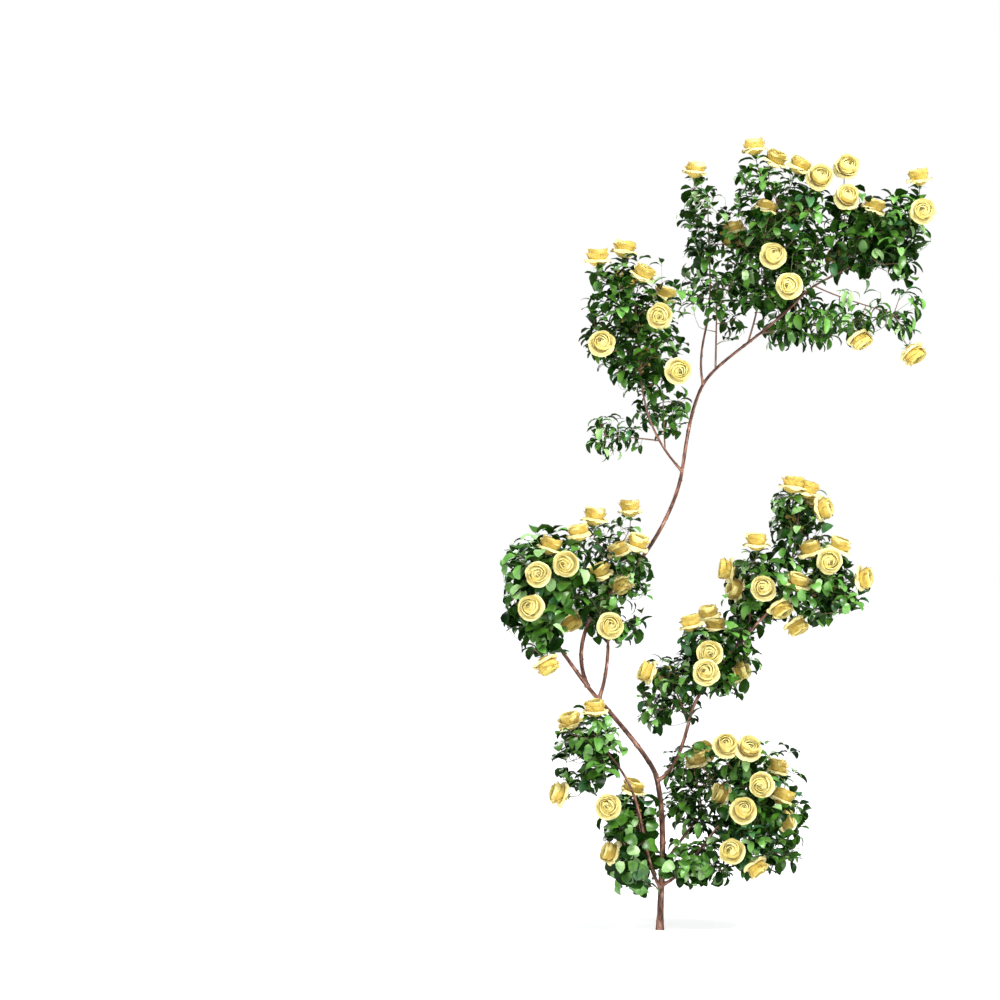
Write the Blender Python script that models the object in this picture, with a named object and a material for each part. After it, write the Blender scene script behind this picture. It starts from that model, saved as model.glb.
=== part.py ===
"""Climbing rose with yellow double blooms: a rooted stem, its boughs, and masses of leafy, flowering twigs.

Metres, +Z up. The origin is the middle of the flat cut at ground level, and -Y is the side that is looked at.
Every limb is a tapering tube along a cubic curve. Every mass of foliage is one solid that grows from a limb
by a seeded rule: a stem, shoots that reach evenly through the mass's own space, and leaves and blooms on them.
"""

import math
import random

import bmesh
import bpy
from mathutils import Vector
from mathutils.bvhtree import BVHTree

# Driving dimensions
GAP = 0.0003
BLOOM_RADIUS = 0.045
BLOOM_HEIGHT = 0.044
LEAF_LENGTH = 0.124
LEAF_WIDTH = 0.084
LEAF_THICKNESS = 0.0030
LEAF_FOLD = 0.35
LEAF_SPACING = 0.062
STEM_RADIUS = 0.0055
STEM_TIP_RADIUS = 0.0042
SHOOT_RADIUS = 0.0021
SHOOT_TIP_RADIUS = 0.0017
ROOT_DEPTH = 0.0002
GUARD = 0.0015
WELD = 0.0000004
ROOT_FLARE = 0.0030
ROOT_FLARE_HEIGHT = 0.035

# Counts and proportions
GOLDEN_ANGLE = math.pi * (3 - math.sqrt(5))
TWIG_SIDES = 3
LIMB_SIDES = 7
LIMB_STEP = 0.075
BLOOM_SIDES = 6
SHOOT_PARTS = 2
STEM_PARTS = 4
TRIES = 9
ATTEMPTS = 5
ROUNDS = 12
FULLNESS = 2.8
UP = Vector((0, 0, 1))

# Each limb: the limb it leaves, the four points of its cubic curve, and its radius at each end.
# A limb that starts at its parent's tip carries on from it. Any other starts inside its parent, and is cut clear.
LIMBS = {
    "trunk": (None, ((0, 0, 0), (0, 0, 0.13), (0.027, 0, 0.36), (-0.013, 0, 0.513)), 0.0112, 0.0086),
    "bough_leader": (
        "trunk", ((-0.013, 0, 0.513), (-0.034, 0, 0.560), (-0.130, 0, 0.685), (-0.214, -0.005, 0.779)), 0.0082, 0.0072),
    "bough_right": (
        "trunk", ((-0.011, 0, 0.498), (0.045, 0.005, 0.515), (0.078, 0.015, 0.610), (0.103, 0.01, 0.717)),
        0.0066, 0.0056),
    "bough_far_right": (
        "bough_right", ((0.103, 0.01, 0.717), (0.145, 0.005, 0.79), (0.255, -0.06, 0.96), (0.373, -0.03, 1.073)),
        0.0054, 0.0042),
    "bough_far_top": (
        "bough_far_right", ((0.373, -0.03, 1.073), (0.415, -0.02, 1.10), (0.440, 0.03, 1.20), (0.452, 0.05, 1.285)),
        0.0038, 0.0032),
    "arm_left": (
        "bough_leader", ((-0.214, -0.005, 0.779), (-0.250, -0.008, 0.823), (-0.305, -0.035, 0.900),
                         (-0.340, -0.07, 0.949)), 0.0068, 0.0058),
    "arm_right": (
        "bough_leader", ((-0.204, -0.004, 0.769), (-0.180, 0.0, 0.83), (-0.172, 0.025, 0.90), (-0.172, 0.06, 0.954)),
        0.0062, 0.0054),
    "cane_lower": (
        "arm_left", ((-0.241, -0.007, 0.811), (-0.285, 0.02, 0.915), (-0.262, 0.03, 1.03), (-0.157, 0.03, 1.128)),
        0.0068, 0.0066),
    "cane_middle": (
        "cane_lower", ((-0.157, 0.03, 1.128), (-0.06, 0.03, 1.225), (0.055, 0.03, 1.39), (0.077, 0.03, 1.542)),
        0.0066, 0.0060),
    "cane_upper": (
        "cane_middle", ((0.077, 0.03, 1.542), (0.088, 0.03, 1.63), (0.105, 0.03, 1.755), (0.151, 0.03, 1.828)),
        0.0060, 0.0055),
    "bough_column": (
        "cane_middle", ((0.075, 0.03, 1.530), (0.05, 0.02, 1.555), (0.01, -0.02, 1.60), (-0.022, -0.05, 1.668)),
        0.0044, 0.0036),
    "bough_top_left": (
        "cane_upper", ((0.146, 0.03, 1.818), (0.130, 0.03, 1.88), (0.142, 0.05, 1.95), (0.158, 0.09, 2.011)),
        0.0040, 0.0036),
    "bough_top_right": (
        "cane_upper", ((0.151, 0.03, 1.828), (0.20, 0.03, 1.90), (0.36, 0.0, 1.99), (0.473, 0.0, 2.113)),
        0.0054, 0.0040),
    "bough_outer": (
        "bough_top_right", ((0.473, 0.0, 2.113), (0.51, 0.0, 2.150), (0.56, 0.02, 2.170), (0.605, 0.04, 2.195)),
        0.0038, 0.0032),
    "bough_low_left": (
        "trunk", ((0.005, 0, 0.138), (-0.075, -0.07, 0.25), (-0.03, -0.11, 0.42), (-0.160, -0.10, 0.575)),
        0.0062, 0.0038),
    "bough_low_right": (
        "trunk", ((0.010, 0, 0.218), (0.035, 0.005, 0.245), (0.08, 0.03, 0.315), (0.124, 0.07, 0.357)),
        0.0056, 0.0042),
    "bough_low_far_right": (
        "trunk", ((0.008, 0, 0.152), (0.06, -0.01, 0.165), (0.13, -0.03, 0.27), (0.205, -0.05, 0.365)),
        0.0056, 0.0040),
}

# The ways a bloom faces
FRONT = Vector((0, -1, 0.15))
UP_LEFT = Vector((-0.30, -0.12, 1))
UPRIGHT = Vector((0.02, -0.10, 1))
UP_RIGHT = Vector((0.35, -0.12, 1))
FRONT_UP = Vector((0.25, -1, 0.75))
LEFT = Vector((-1, -0.25, 0.25))
RIGHT = Vector((1, -0.30, 0.15))
DOWN = Vector((0.45, -0.30, -0.75))
BACK = Vector((0, 1, 0.25))

# Each mass: the limb that bears it, how far along that limb, the middle of its space, its reach on each axis,
# how many leafy shoots it has, and its blooms, each with its place across and up and the way it faces.
MASSES = {
    "foliage_crown_left": (
        "bough_top_left", 1, (0.165, 0.10, 2.305), (0.100, 0.165, 0.225), 7,
        ((0.12, 2.54, UPRIGHT), (0.25, 2.333, BACK))),
    "foliage_crown_fan": (
        "bough_top_right", 0.18, (0.190, -0.01, 2.085), (0.130, 0.120, 0.120), 5, ()),
    "foliage_crown_centre": (
        "bough_top_right", 0.52, (0.400, -0.01, 2.300), (0.170, 0.210, 0.290), 9,
        ((0.31, 2.62, UPRIGHT), (0.39, 2.577, UP_RIGHT), (0.463, 2.543, UP_RIGHT), (0.523, 2.50, FRONT_UP),
         (0.367, 2.24, FRONT), (0.42, 2.14, FRONT), (0.36, 2.403, BACK), (0.45, 2.25, BACK))),
    "foliage_crown_right": (
        "bough_outer", 1, (0.730, 0.05, 2.320), (0.190, 0.185, 0.170), 8,
        ((0.617, 2.54, FRONT_UP), (0.62, 2.44, FRONT_UP), (0.713, 2.413, UP_RIGHT), (0.877, 2.52, UPRIGHT),
         (0.87, 2.39, FRONT), (0.70, 2.30, BACK))),
    "foliage_crown_under": (
        "bough_top_right", 0.62, (0.465, 0.04, 2.025), (0.160, 0.160, 0.095), 5, ()),
    "foliage_crown_low": (
        "bough_outer", 0.35, (0.715, -0.04, 2.045), (0.170, 0.140, 0.105), 5,
        ((0.663, 1.963, DOWN), (0.847, 1.92, DOWN))),
    "foliage_column": (
        "bough_column", 1, (-0.090, -0.07, 2.020), (0.170, 0.170, 0.235), 9,
        ((-0.21, 2.237, UPRIGHT), (-0.117, 2.27, UPRIGHT), (-0.057, 2.183, UP_RIGHT), (0.017, 2.117, UP_RIGHT),
         (-0.007, 2.04, FRONT), (-0.197, 1.95, FRONT), (0.053, 1.86, FRONT), (-0.09, 2.02, BACK))),
    "foliage_column_foot": (
        "bough_column", 0.62, (0.010, 0.03, 1.745), (0.095, 0.110, 0.110), 4, ()),
    "foliage_column_low": (
        "bough_column", 0.80, (-0.145, -0.01, 1.650), (0.100, 0.110, 0.085), 4, ()),
    "foliage_middle_left": (
        "arm_left", 1, (-0.395, -0.08, 1.135), (0.155, 0.180, 0.215), 8,
        ((-0.273, 1.33, UP_LEFT), (-0.41, 1.19, FRONT), (-0.317, 1.223, FRONT), (-0.433, 1.08, FRONT),
         (-0.377, 0.887, DOWN), (-0.43, 1.15, BACK), (-0.367, 1.283, UP_RIGHT))),
    "foliage_middle_right": (
        "arm_right", 1, (-0.160, 0.08, 1.165), (0.135, 0.185, 0.210), 8,
        ((-0.217, 1.38, UPRIGHT), (-0.097, 1.407, UPRIGHT), (-0.075, 1.290, UP_RIGHT), (-0.137, 1.267, UP_LEFT),
         (-0.167, 1.017, FRONT), (-0.13, 1.17, BACK))),
    "foliage_right_low": (
        "bough_right", 0.97, (0.035, 0.06, 0.780), (0.110, 0.140, 0.130), 5,
        ((-0.043, 0.860, LEFT), (0.03, 0.83, BACK))),
    "foliage_right_mid": (
        "bough_far_right", 0.22, (0.195, 0.01, 0.915), (0.130, 0.165, 0.145), 7,
        ((0.10, 1.027, UP_LEFT), (0.187, 1.015, UPRIGHT), (0.16, 0.927, FRONT), (0.147, 0.867, FRONT),
         (0.25, 0.87, BACK), (0.273, 0.865, RIGHT))),
    "foliage_far_low": (
        "bough_far_right", 0.78, (0.310, 0.05, 1.135), (0.110, 0.150, 0.135), 5,
        ((0.32, 1.297, UPRIGHT), (0.225, 1.20, LEFT), (0.34, 1.143, FRONT), (0.255, 1.135, LEFT))),
    "foliage_far_mid": (
        "bough_far_right", 0.95, (0.520, -0.05, 1.150), (0.160, 0.165, 0.130), 7,
        ((0.593, 1.283, UP_RIGHT), (0.553, 1.233, FRONT), (0.673, 1.173, RIGHT), (0.457, 1.013, DOWN),
         (0.53, 1.15, BACK), (0.50, 1.27, UP_LEFT), (0.457, 1.165, UP_RIGHT))),
    "foliage_far_top": (
        "bough_far_top", 1, (0.475, 0.06, 1.375), (0.100, 0.130, 0.125), 5,
        ((0.443, 1.487, UPRIGHT), (0.517, 1.433, UP_RIGHT), (0.545, 1.405, RIGHT))),
    "foliage_low_left_top": (
        "bough_low_left", 1, (-0.235, -0.09, 0.605), (0.115, 0.140, 0.140), 5,
        ((-0.22, 0.747, UPRIGHT), (-0.300, 0.700, UP_LEFT), (-0.34, 0.463, LEFT))),
    "foliage_low_left": (
        "bough_low_left", 0.30, (-0.080, -0.06, 0.315), (0.115, 0.150, 0.185), 8,
        ((-0.177, 0.423, FRONT), (-0.087, 0.477, UP_RIGHT), (-0.170, 0.267, LEFT))),
    "foliage_low_right": (
        "bough_low_right", 1, (0.115, 0.08, 0.475), (0.100, 0.150, 0.155), 6,
        ((0.15, 0.58, BACK), (0.127, 0.567, UP_LEFT))),
    "foliage_low_far_right": (
        "bough_low_far_right", 1, (0.330, -0.03, 0.410), (0.155, 0.190, 0.225), 8,
        ((0.213, 0.627, FRONT_UP), (0.287, 0.617, FRONT_UP), (0.327, 0.497, FRONT), (0.267, 0.413, FRONT),
         (0.23, 0.28, FRONT), (0.423, 0.367, RIGHT), (0.35, 0.45, BACK), (0.39, 0.545, UP_RIGHT),
         (0.317, 0.217, DOWN))),
    "foliage_foot": (
        "bough_low_far_right", 0.45, (0.120, -0.03, 0.225), (0.110, 0.120, 0.085), 4, ()),
}


# Curves and tubes

def bezier(points, t):
    """The point at t on the cubic curve through these four control points."""
    a, b, c, d = (Vector(p) for p in points)
    s = 1 - t
    return a * s ** 3 + b * (3 * s * s * t) + c * (3 * s * t * t) + d * t ** 3


def slope(points, t):
    """The direction at t of the cubic curve."""
    a, b, c, d = (Vector(p) for p in points)
    s = 1 - t
    return ((b - a) * s * s + (c - b) * 2 * s * t + (d - c) * t * t).normalized()


def frames_along(curve, count):
    """Frames at even steps along a cubic curve, each (centre, along, across, beside), that don't twist."""
    across = slope(curve, 0).orthogonal().normalized()
    frames = []
    for i in range(count + 1):
        along = slope(curve, i / count)
        across = (across - along * across.dot(along)).normalized()
        frames.append((bezier(curve, i / count), along, across, along.cross(across)))
    return frames


def round_point(frame, angle, radius):
    centre, _, across, beside = frame
    return centre + (across * math.cos(angle) + beside * math.sin(angle)) * radius


def tube(frames, radii, sides):
    """Vertices and faces of a closed tube with a ring at each frame."""
    points = []
    for frame, radius in zip(frames, radii):
        points += [round_point(frame, 2 * math.pi * i / sides, radius) for i in range(sides)]
    faces = [tuple(reversed(range(sides)))]
    for ring in range(len(frames) - 1):
        low = ring * sides
        for i in range(sides):
            j = (i + 1) % sides
            faces.append((low + i, low + j, low + sides + j, low + sides + i))
    top = (len(frames) - 1) * sides
    faces.append(tuple(range(top, top + sides)))
    return points, faces


def taper(start, end, count):
    return [start + (end - start) * i / (count - 1) for i in range(count)]


# Objects

def material(name, colour, roughness):
    made = bpy.data.materials.new(name)
    made.use_nodes = True
    shader = made.node_tree.nodes["Principled BSDF"]
    shader.inputs["Base Color"].default_value = (*colour, 1)
    shader.inputs["Roughness"].default_value = roughness
    shader.inputs["Metallic"].default_value = 0
    return made


def new_object(name, solid, collection, look):
    """A mesh object from points and faces, with one material."""
    mesh = bpy.data.meshes.new(name)
    mesh.from_pydata(solid[0], [], solid[1])
    mesh.materials.append(look)
    made = bpy.data.objects.new(name, mesh)
    collection.objects.link(made)
    return made


def apply_boolean(base, collection, operation):
    """Joins or cuts base with every object of the collection, then removes them."""
    modifier = base.modifiers.new("fuse", "BOOLEAN")
    modifier.operation = operation
    modifier.operand_type = "COLLECTION"
    modifier.collection = collection
    modifier.solver = "EXACT"
    graph = bpy.context.evaluated_depsgraph_get()
    base.data = bpy.data.meshes.new_from_object(base.evaluated_get(graph))
    base.modifiers.remove(modifier)
    for each in list(collection.objects):
        bpy.data.objects.remove(each)
    bpy.data.collections.remove(collection)


def new_collection(name):
    made = bpy.data.collections.new(name)
    bpy.context.scene.collection.children.link(made)
    return made


def rebuilt(mesh, faces):
    """A mesh of the same look with only these faces, given by the old points' numbers, and the points they use."""
    used = sorted({v for face in faces for v in face})
    place = {old: new for new, old in enumerate(used)}
    clean = bpy.data.meshes.new(mesh.name)
    clean.from_pydata([mesh.vertices[i].co.copy() for i in used], [], [[place[v] for v in face] for face in faces])
    clean.materials.append(mesh.materials[0])
    return clean


def largest_island(mesh):
    """Drops everything but the largest connected piece: loose scraps, and hollows sealed by the joining."""
    group = list(range(len(mesh.vertices)))

    def root(i):
        while group[i] != i:
            group[i] = group[group[i]]
            i = group[i]
        return i

    for edge in mesh.edges:
        a, b = (root(v) for v in edge.vertices)
        group[a] = b
    sizes = {}
    for i in range(len(group)):
        sizes[root(i)] = sizes.get(root(i), 0) + 1
    biggest = max(sizes, key=sizes.get)
    return rebuilt(mesh, [tuple(p.vertices) for p in mesh.polygons if root(p.vertices[0]) == biggest])


def best_ear(ring, points, normal, joined):
    """The place in a face's ring of points where cutting off a triangle is soundest, or None."""
    best = None
    for i, b in enumerate(ring):
        a, c = ring[i - 1], ring[(i + 1) % len(ring)]
        corners = (points[a], points[b], points[c])
        sides = [q - p for p, q in zip(corners, corners[1:] + corners[:1])]
        area = sides[0].cross(sides[1]).dot(normal)
        if frozenset((a, c)) in joined or area <= 0:
            continue
        rest = [points[v] for v in ring if v not in (a, b, c)]
        if any(all(side.cross(p - corner).dot(normal) >= 0 for side, corner in zip(sides, corners)) for p in rest):
            continue
        shape = area / max(side.length_squared for side in sides)
        if best is None or shape > best[0]:
            best = (shape, i)
    return best and best[1]


def triangles_of(polygon, points, joined):
    """A face cut into triangles, and the new edges between them, or None if it can't be done without a joined one."""
    ring = list(polygon.vertices)
    faces = []
    edges = []
    while len(ring) > 3:
        i = best_ear(ring, points, polygon.normal, joined)
        if i is None:
            return None
        a, c = ring[i - 1], ring[(i + 1) % len(ring)]
        faces.append((a, ring[i], c))
        edges.append(frozenset((a, c)))
        ring.pop(i)
    return faces + [tuple(ring)], edges


def cut_to_triangles(mesh):
    """Cuts every face into triangles, with no new edge between two points that an edge already joins.

    A face that can't be cut because its neighbours took the edges it needs has its turn before them the next time.
    """
    points = [v.co for v in mesh.vertices]
    order = sorted(mesh.polygons, key=lambda polygon: -len(polygon.vertices))
    for _ in range(ROUNDS):
        joined = {frozenset(edge.vertices) for edge in mesh.edges}
        faces = []
        stuck = []
        for polygon in order:
            found = triangles_of(polygon, points, joined)
            if not found:
                stuck.append(polygon)
                found = triangles_of(polygon, points, set()) or ([tuple(polygon.vertices)], [])
            faces += found[0]
            joined.update(found[1])
        if not stuck:
            break
        order = stuck + [polygon for polygon in order if polygon not in stuck]
    return rebuilt(mesh, faces)


def is_sound(mesh):
    """Whether every edge still borders two faces once points closer than WELD are taken as one."""
    check = bmesh.new()
    check.from_mesh(mesh)
    bmesh.ops.remove_doubles(check, verts=check.verts[:], dist=WELD)
    sound = all(len(edge.link_faces) == 2 for edge in check.edges)
    check.free()
    return sound


# Limbs

def carries_on(name):
    """Whether a limb starts at its parent's tip."""
    parent, curve, *_ = LIMBS[name]
    return parent is not None and (Vector(curve[0]) - Vector(LIMBS[parent][1][3])).length < GAP


def limb_curve(name):
    """The curve of a limb. One that carries on starts GAP beyond its parent's tip, in its parent's direction."""
    parent, curve, *_ = LIMBS[name]
    curve = [Vector(p) for p in curve]
    if carries_on(name):
        ahead = slope(LIMBS[parent][1], 1)
        curve[1] = curve[0] + ahead * (curve[1] - curve[0]).length
        curve[0] += ahead * GAP
    return curve


def limb_tube(name, more=0.0):
    """The tube of a limb, with its radius made larger by more."""
    _, _, start, end = LIMBS[name]
    curve = limb_curve(name)
    length = sum((bezier(curve, (i + 1) / 16) - bezier(curve, i / 16)).length for i in range(16))
    count = max(3, round(length / LIMB_STEP))
    frames = frames_along(curve, count)
    radii = [r + more for r in taper(start, end, count + 1)]
    if name == "trunk":
        radii = [r + ROOT_FLARE * math.exp(-frame[0].z / ROOT_FLARE_HEIGHT) for r, frame in zip(radii, frames)]
    return tube(frames, radii, LIMB_SIDES)


def build_limb(name, look):
    """A limb. One that leaves its parent's side is cut GAP clear of it, and of the limb that carries on from it."""
    parent = LIMBS[name][0]
    limb = new_object(name, limb_tube(name), bpy.context.scene.collection, look)
    if parent and not carries_on(name):
        beside = [other for other in LIMBS if other == parent or (LIMBS[other][0] == parent and carries_on(other))]
        cut_clear(limb, beside, look)
    limb.data.shade_smooth()
    limb.data.set_sharp_from_angle(angle=math.radians(50))


def cut_clear(base, limbs, look):
    """Cuts a solid GAP clear of these limbs, and keeps its largest piece."""
    cutters = new_collection("cutters_of_" + base.name)
    for each in limbs:
        new_object("cutter", limb_tube(each, GAP), cutters, look)
    apply_boolean(base, cutters, "DIFFERENCE")
    base.data = cut_to_triangles(largest_island(base.data))


# Leaves and blooms, each about its own base

def leaf(base, along, face, length, more=0.0):
    """A blade of six faces, folded along its midrib. It grows along one direction, and its upper side looks to face."""
    across = along.cross(face).normalized()
    normal = across.cross(along).normalized()
    half = length * LEAF_WIDTH / LEAF_LENGTH / 2
    middle = base + along * length * 0.46
    points = [
        base - normal * more,
        middle + across * (half + more) + normal * (half * LEAF_FOLD - more),
        base + along * (length + more) - normal * more,
        middle - across * (half + more) + normal * (half * LEAF_FOLD - more),
        middle + normal * (LEAF_THICKNESS + more),
    ]
    faces = [(0, 1, 4), (1, 2, 4), (2, 3, 4), (3, 0, 4), (1, 0, 2), (3, 2, 0)]
    return points, faces


def bloom_sides(axis):
    side = axis.orthogonal().normalized()
    return side, axis.cross(side)


def bloom(base, axis, more=0.0):
    """A double bloom: a wide uneven ring of outer petals, a waist, and a smaller cup with a dip in the middle."""
    side, beside = bloom_sides(axis)
    rings = ((1.0, 0.27, 0.0, 0.12), (0.58, 0.48, 0.5, 0.0), (0.78, 0.93, 0.5, 0.08))
    points = [base - axis * more]
    for reach, height, turn, uneven in rings:
        for i in range(BLOOM_SIDES):
            angle = 2 * math.pi * (i + turn) / BLOOM_SIDES
            wave = math.sin(3 * i + 40 * base.x)
            radius = BLOOM_RADIUS * reach * (1 - uneven * 0.5 + uneven * 0.5 * wave) + more
            lift = BLOOM_HEIGHT * (height + uneven * 0.6 * math.cos(4 * i + 30 * base.z))
            points.append(base + axis * lift + (side * math.cos(angle) + beside * math.sin(angle)) * radius)
    points.append(base + axis * (BLOOM_HEIGHT * 0.75 + more))
    top = len(points) - 1
    faces = []
    for i in range(BLOOM_SIDES):
        j = (i + 1) % BLOOM_SIDES
        faces.append((0, 1 + j, 1 + i))
        for ring in range(len(rings) - 1):
            low, high = 1 + ring * BLOOM_SIDES, 1 + (ring + 1) * BLOOM_SIDES
            faces += [(low + i, low + j, high + i), (low + j, high + j, high + i)]
        faces.append((top - BLOOM_SIDES + i, top - BLOOM_SIDES + j, top))
    return points, faces


# Growth

def belongs(point, name, slack=1.0):
    """Whether a point lies in a mass's own space: within its reach, and nearer to its middle than to any other's."""
    def share(each):
        _, _, middle, reach, *_ = MASSES[each]
        return sum(abs((p - m) / r) ** FULLNESS for p, m, r in zip(point, middle, reach)) ** (1 / FULLNESS)

    own = share(name)
    return own <= slack and all(own < share(other) + 0.06 for other in MASSES if other != name)


def tree_of(points, faces):
    return BVHTree.FromPolygons([tuple(p) for p in points], faces)


def is_clear(solid, trees):
    own = tree_of(*solid)
    return not any(own.overlap(tree) for tree in trees)


def shoot_frames(start, leave, end, arrive, count):
    """Frames along a curve that leaves along one direction and arrives along another."""
    reach = (end - start).length
    return frames_along((start, start + leave * reach * 0.35, end - arrive * reach * 0.35, end), count)


def stem_frames(name):
    """The main stem, from its limb through the middle of its space, then up, or sideways where the space is low."""
    limb, share, middle, reach, *_ = MASSES[name]
    curve = limb_curve(limb)
    here = bezier(curve, share)
    middle = Vector(middle)
    away = middle - here
    high = Vector((0, 0, reach[2] * 0.50))
    wide = Vector((away.x, 0, 0)).normalized() * reach[0] * 0.45
    end = middle + (high if reach[2] > reach[0] * 0.9 else wide)
    leave = away.normalized()
    if share == 1:
        leave = slope(curve, 1)
        here = here + leave * GAP
    return shoot_frames(here, leave, end, (end - here).normalized(), STEM_PARTS)


def stem_tube(name, more=0.0):
    frames = stem_frames(name)
    return tube(frames, taper(STEM_RADIUS + more, STEM_TIP_RADIUS + more, len(frames)), TWIG_SIDES)


def leaving_place(stem, target, taken):
    """Where a shoot to the target leaves a stem, and the way it goes: through one of the stem's sides.

    It is a place between two rings that no shoot has taken yet, near the target, and rather below it.
    """
    best = None
    for i, (a, b) in enumerate(zip(stem[1:], stem[2:])):
        for share in (0.2, 0.5, 0.8):
            frame = (a[0].lerp(b[0], share), (b[0] - a[0]).normalized(), *a[2:])
            way = target - frame[0]
            for side in range(TWIG_SIDES):
                if (i, share, side) in taken:
                    continue
                out = round_point(frame, 2 * math.pi * (side + 0.5) / TWIG_SIDES, 1) - frame[0]
                cost = way.length - 0.35 * way.z - 0.08 * way.normalized().dot(out)
                if best is None or cost < best[0]:
                    best = (cost, (i, share, side), frame, out)
    _, slot, frame, out = best
    ahead = min(max((target - frame[0]).normalized().dot(frame[1]), -0.3), 1.0)
    return slot, frame[0] + out * 0.0004, (out + frame[1] * ahead).normalized()


def leafy_targets(name, attempt):
    """Where a mass's leafy shoots end: spread evenly round its middle by the golden angle."""
    _, _, middle, reach, count, _ = MASSES[name]
    rng = random.Random(f"targets {name} {attempt}")
    turn = rng.uniform(0, 2 * math.pi)
    for i in range(count):
        z = 1 - 2 * (i + 0.5) / count
        flat = math.sqrt(1 - z * z)
        size = rng.uniform(0.64, 0.78)
        tries = []
        for extra in range(TRIES):
            angle = turn + i * GOLDEN_ANGLE + extra * 0.5
            out = (flat * math.cos(angle), flat * math.sin(angle), z)
            full = size / sum(abs(o) ** FULLNESS for o in out) ** (1 / FULLNESS)
            tries.append(Vector([m + o * r * full for m, o, r in zip(middle, out, reach)]))
        yield tries


def bloom_targets(name, attempt):
    """Where a mass's blooms sit, and the way each faces. Those that face up lie in front and behind by turns."""
    _, _, middle, reach, _, blooms = MASSES[name]
    for i, (x, z, facing) in enumerate(blooms):
        axis = facing.normalized()
        deep = axis.y * 0.85 if abs(axis.y) > 0.5 else -0.35 * (-1) ** i
        tries = []
        for extra in range(attempt, attempt + TRIES):
            shift = (extra + 1) // 2 * (-1) ** extra * 0.16
            tries.append(Vector((x, middle[1] + (deep + shift) * reach[1], z)) - axis * BLOOM_HEIGHT * 0.5)
        yield tries, axis


def leaf_places(frames, rng):
    """Places for leaves along a shoot, as (base, frame, roll). Each leaf leaves through one of the shoot's sides."""
    length = sum((b[0] - a[0]).length for a, b in zip(frames, frames[1:]))
    count = max(2, round(length * 0.78 / LEAF_SPACING))
    turn = rng.randrange(TWIG_SIDES)
    places = []
    for i in range(count):
        at = (0.22 + 0.74 * (i + 0.5) / count) * (len(frames) - 1)
        k = min(int(at), len(frames) - 2)
        share = min(max(at - k, 0.12), 0.88)
        base = frames[k][0].lerp(frames[k + 1][0], share)
        frame = (base, (frames[k + 1][0] - frames[k][0]).normalized(), *frames[k][2:])
        places.append((base, frame, 2 * math.pi * (turn + i + 0.5) / TWIG_SIDES))
    return places


def leaf_tries(place, middle, rng):
    """Ways for a leaf to lie at its place: the first as the rule has it, then rolled round and shortened."""
    base, frame, roll = place
    face = UP * 0.6 + (base - middle).normalized() * 0.9 + Vector([rng.uniform(-0.6, 0.6) for _ in range(3)])
    length = LEAF_LENGTH * rng.uniform(0.88, 1.1)
    lean = rng.uniform(0.25, 0.60)
    for extra in range(TRIES):
        out = round_point(frame, roll + 2 * math.pi * extra / TWIG_SIDES, 1) - base
        ahead = lean + 0.35 * (extra // TWIG_SIDES)
        yield base, (out + frame[1] * ahead).normalized(), face, length * (1 - 0.04 * extra)


def tip_tries(frames, middle):
    """Ways for the leaf at the end of a leafy shoot to lie."""
    end, along, across, beside = frames[-1]
    base = end - along * 0.0008
    for extra in range(TRIES):
        lean = (across * math.cos(extra * 2.4) + beside * math.sin(extra * 2.4)) * 0.12 * extra
        yield base, (along + lean).normalized(), base - middle + UP * 0.1, LEAF_LENGTH * (1 - 0.04 * extra)


def first_leaf(tries, name, others, own):
    """The first of the tries that stays in its mass's space and clear of everything, or None."""
    for base, along, face, length in tries:
        foot = base + along * 0.006
        guard = leaf(base, along, face, length, GUARD)
        if all(belongs(p, name, 1.10) for p in guard[0][1:]) and is_clear(guard, others):
            if is_clear(leaf(foot, along, face, length - 0.006), own):
                return leaf(base - along * ROOT_DEPTH, along, face, length)
    return None


def grow(name, others, attempt):
    """The solids of one mass: its stem first, then its shoots and blooms, and then its leaves."""
    middle = Vector(MASSES[name][2])
    rng = random.Random(f"grow {name} {attempt}")
    stem = stem_frames(name)
    parts = [stem_tube(name)]
    shoots = []
    own = []
    blooms = []
    taken = set()
    aims = list(bloom_targets(name, attempt)) + [(tries, None) for tries in leafy_targets(name, attempt)]
    for tries, axis in aims:
        for target in tries:
            slot, start, leave = leaving_place(stem, target, taken)
            heading = (target - start).normalized()
            arrive = axis or (heading + UP * 0.35).normalized()
            end = target
            if axis:
                end = round_point((target, axis, *bloom_sides(axis)), math.pi / BLOOM_SIDES, 0.009) + axis * 0.005
            frames = shoot_frames(start, leave, end, arrive, SHOOT_PARTS)
            thick = taper(SHOOT_RADIUS, SHOOT_TIP_RADIUS, len(frames))
            guard = tube(frames, [r + GUARD for r in thick], TWIG_SIDES)
            outer = tube(frames[1:], thick[1:], TWIG_SIDES)
            clear = is_clear(guard, others) and is_clear(outer, own)
            if clear and (not axis or is_clear(bloom(target, axis, GUARD), others + own)):
                taken.add(slot)
                parts.append(tube(frames, thick, TWIG_SIDES))
                shoots.append((frames, axis, tree_of(*tube(frames, thick, TWIG_SIDES))))
                own.append(tree_of(*outer))
                if axis:
                    parts.append(bloom(target, axis))
                    blooms.append(tree_of(*bloom(target, axis, GUARD)))
                    own.append(blooms[-1])
                break
        else:
            print("  skipped", name, "bloom" if axis else "shoot", [round(c, 3) for c in tries[0]])
    own = blooms + [tree_of(*parts[0])]
    for frames, axis, tree in shoots:
        plans = [leaf_tries(place, middle, rng) for place in leaf_places(frames, rng)]
        if not axis:
            plans.insert(0, tip_tries(frames, middle))
        beside = [other for _, _, other in shoots if other is not tree]
        for tries in plans:
            blade = first_leaf(tries, name, others, own + beside)
            if blade:
                parts.append(blade)
                own.append(tree_of(*blade))
    return parts


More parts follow.
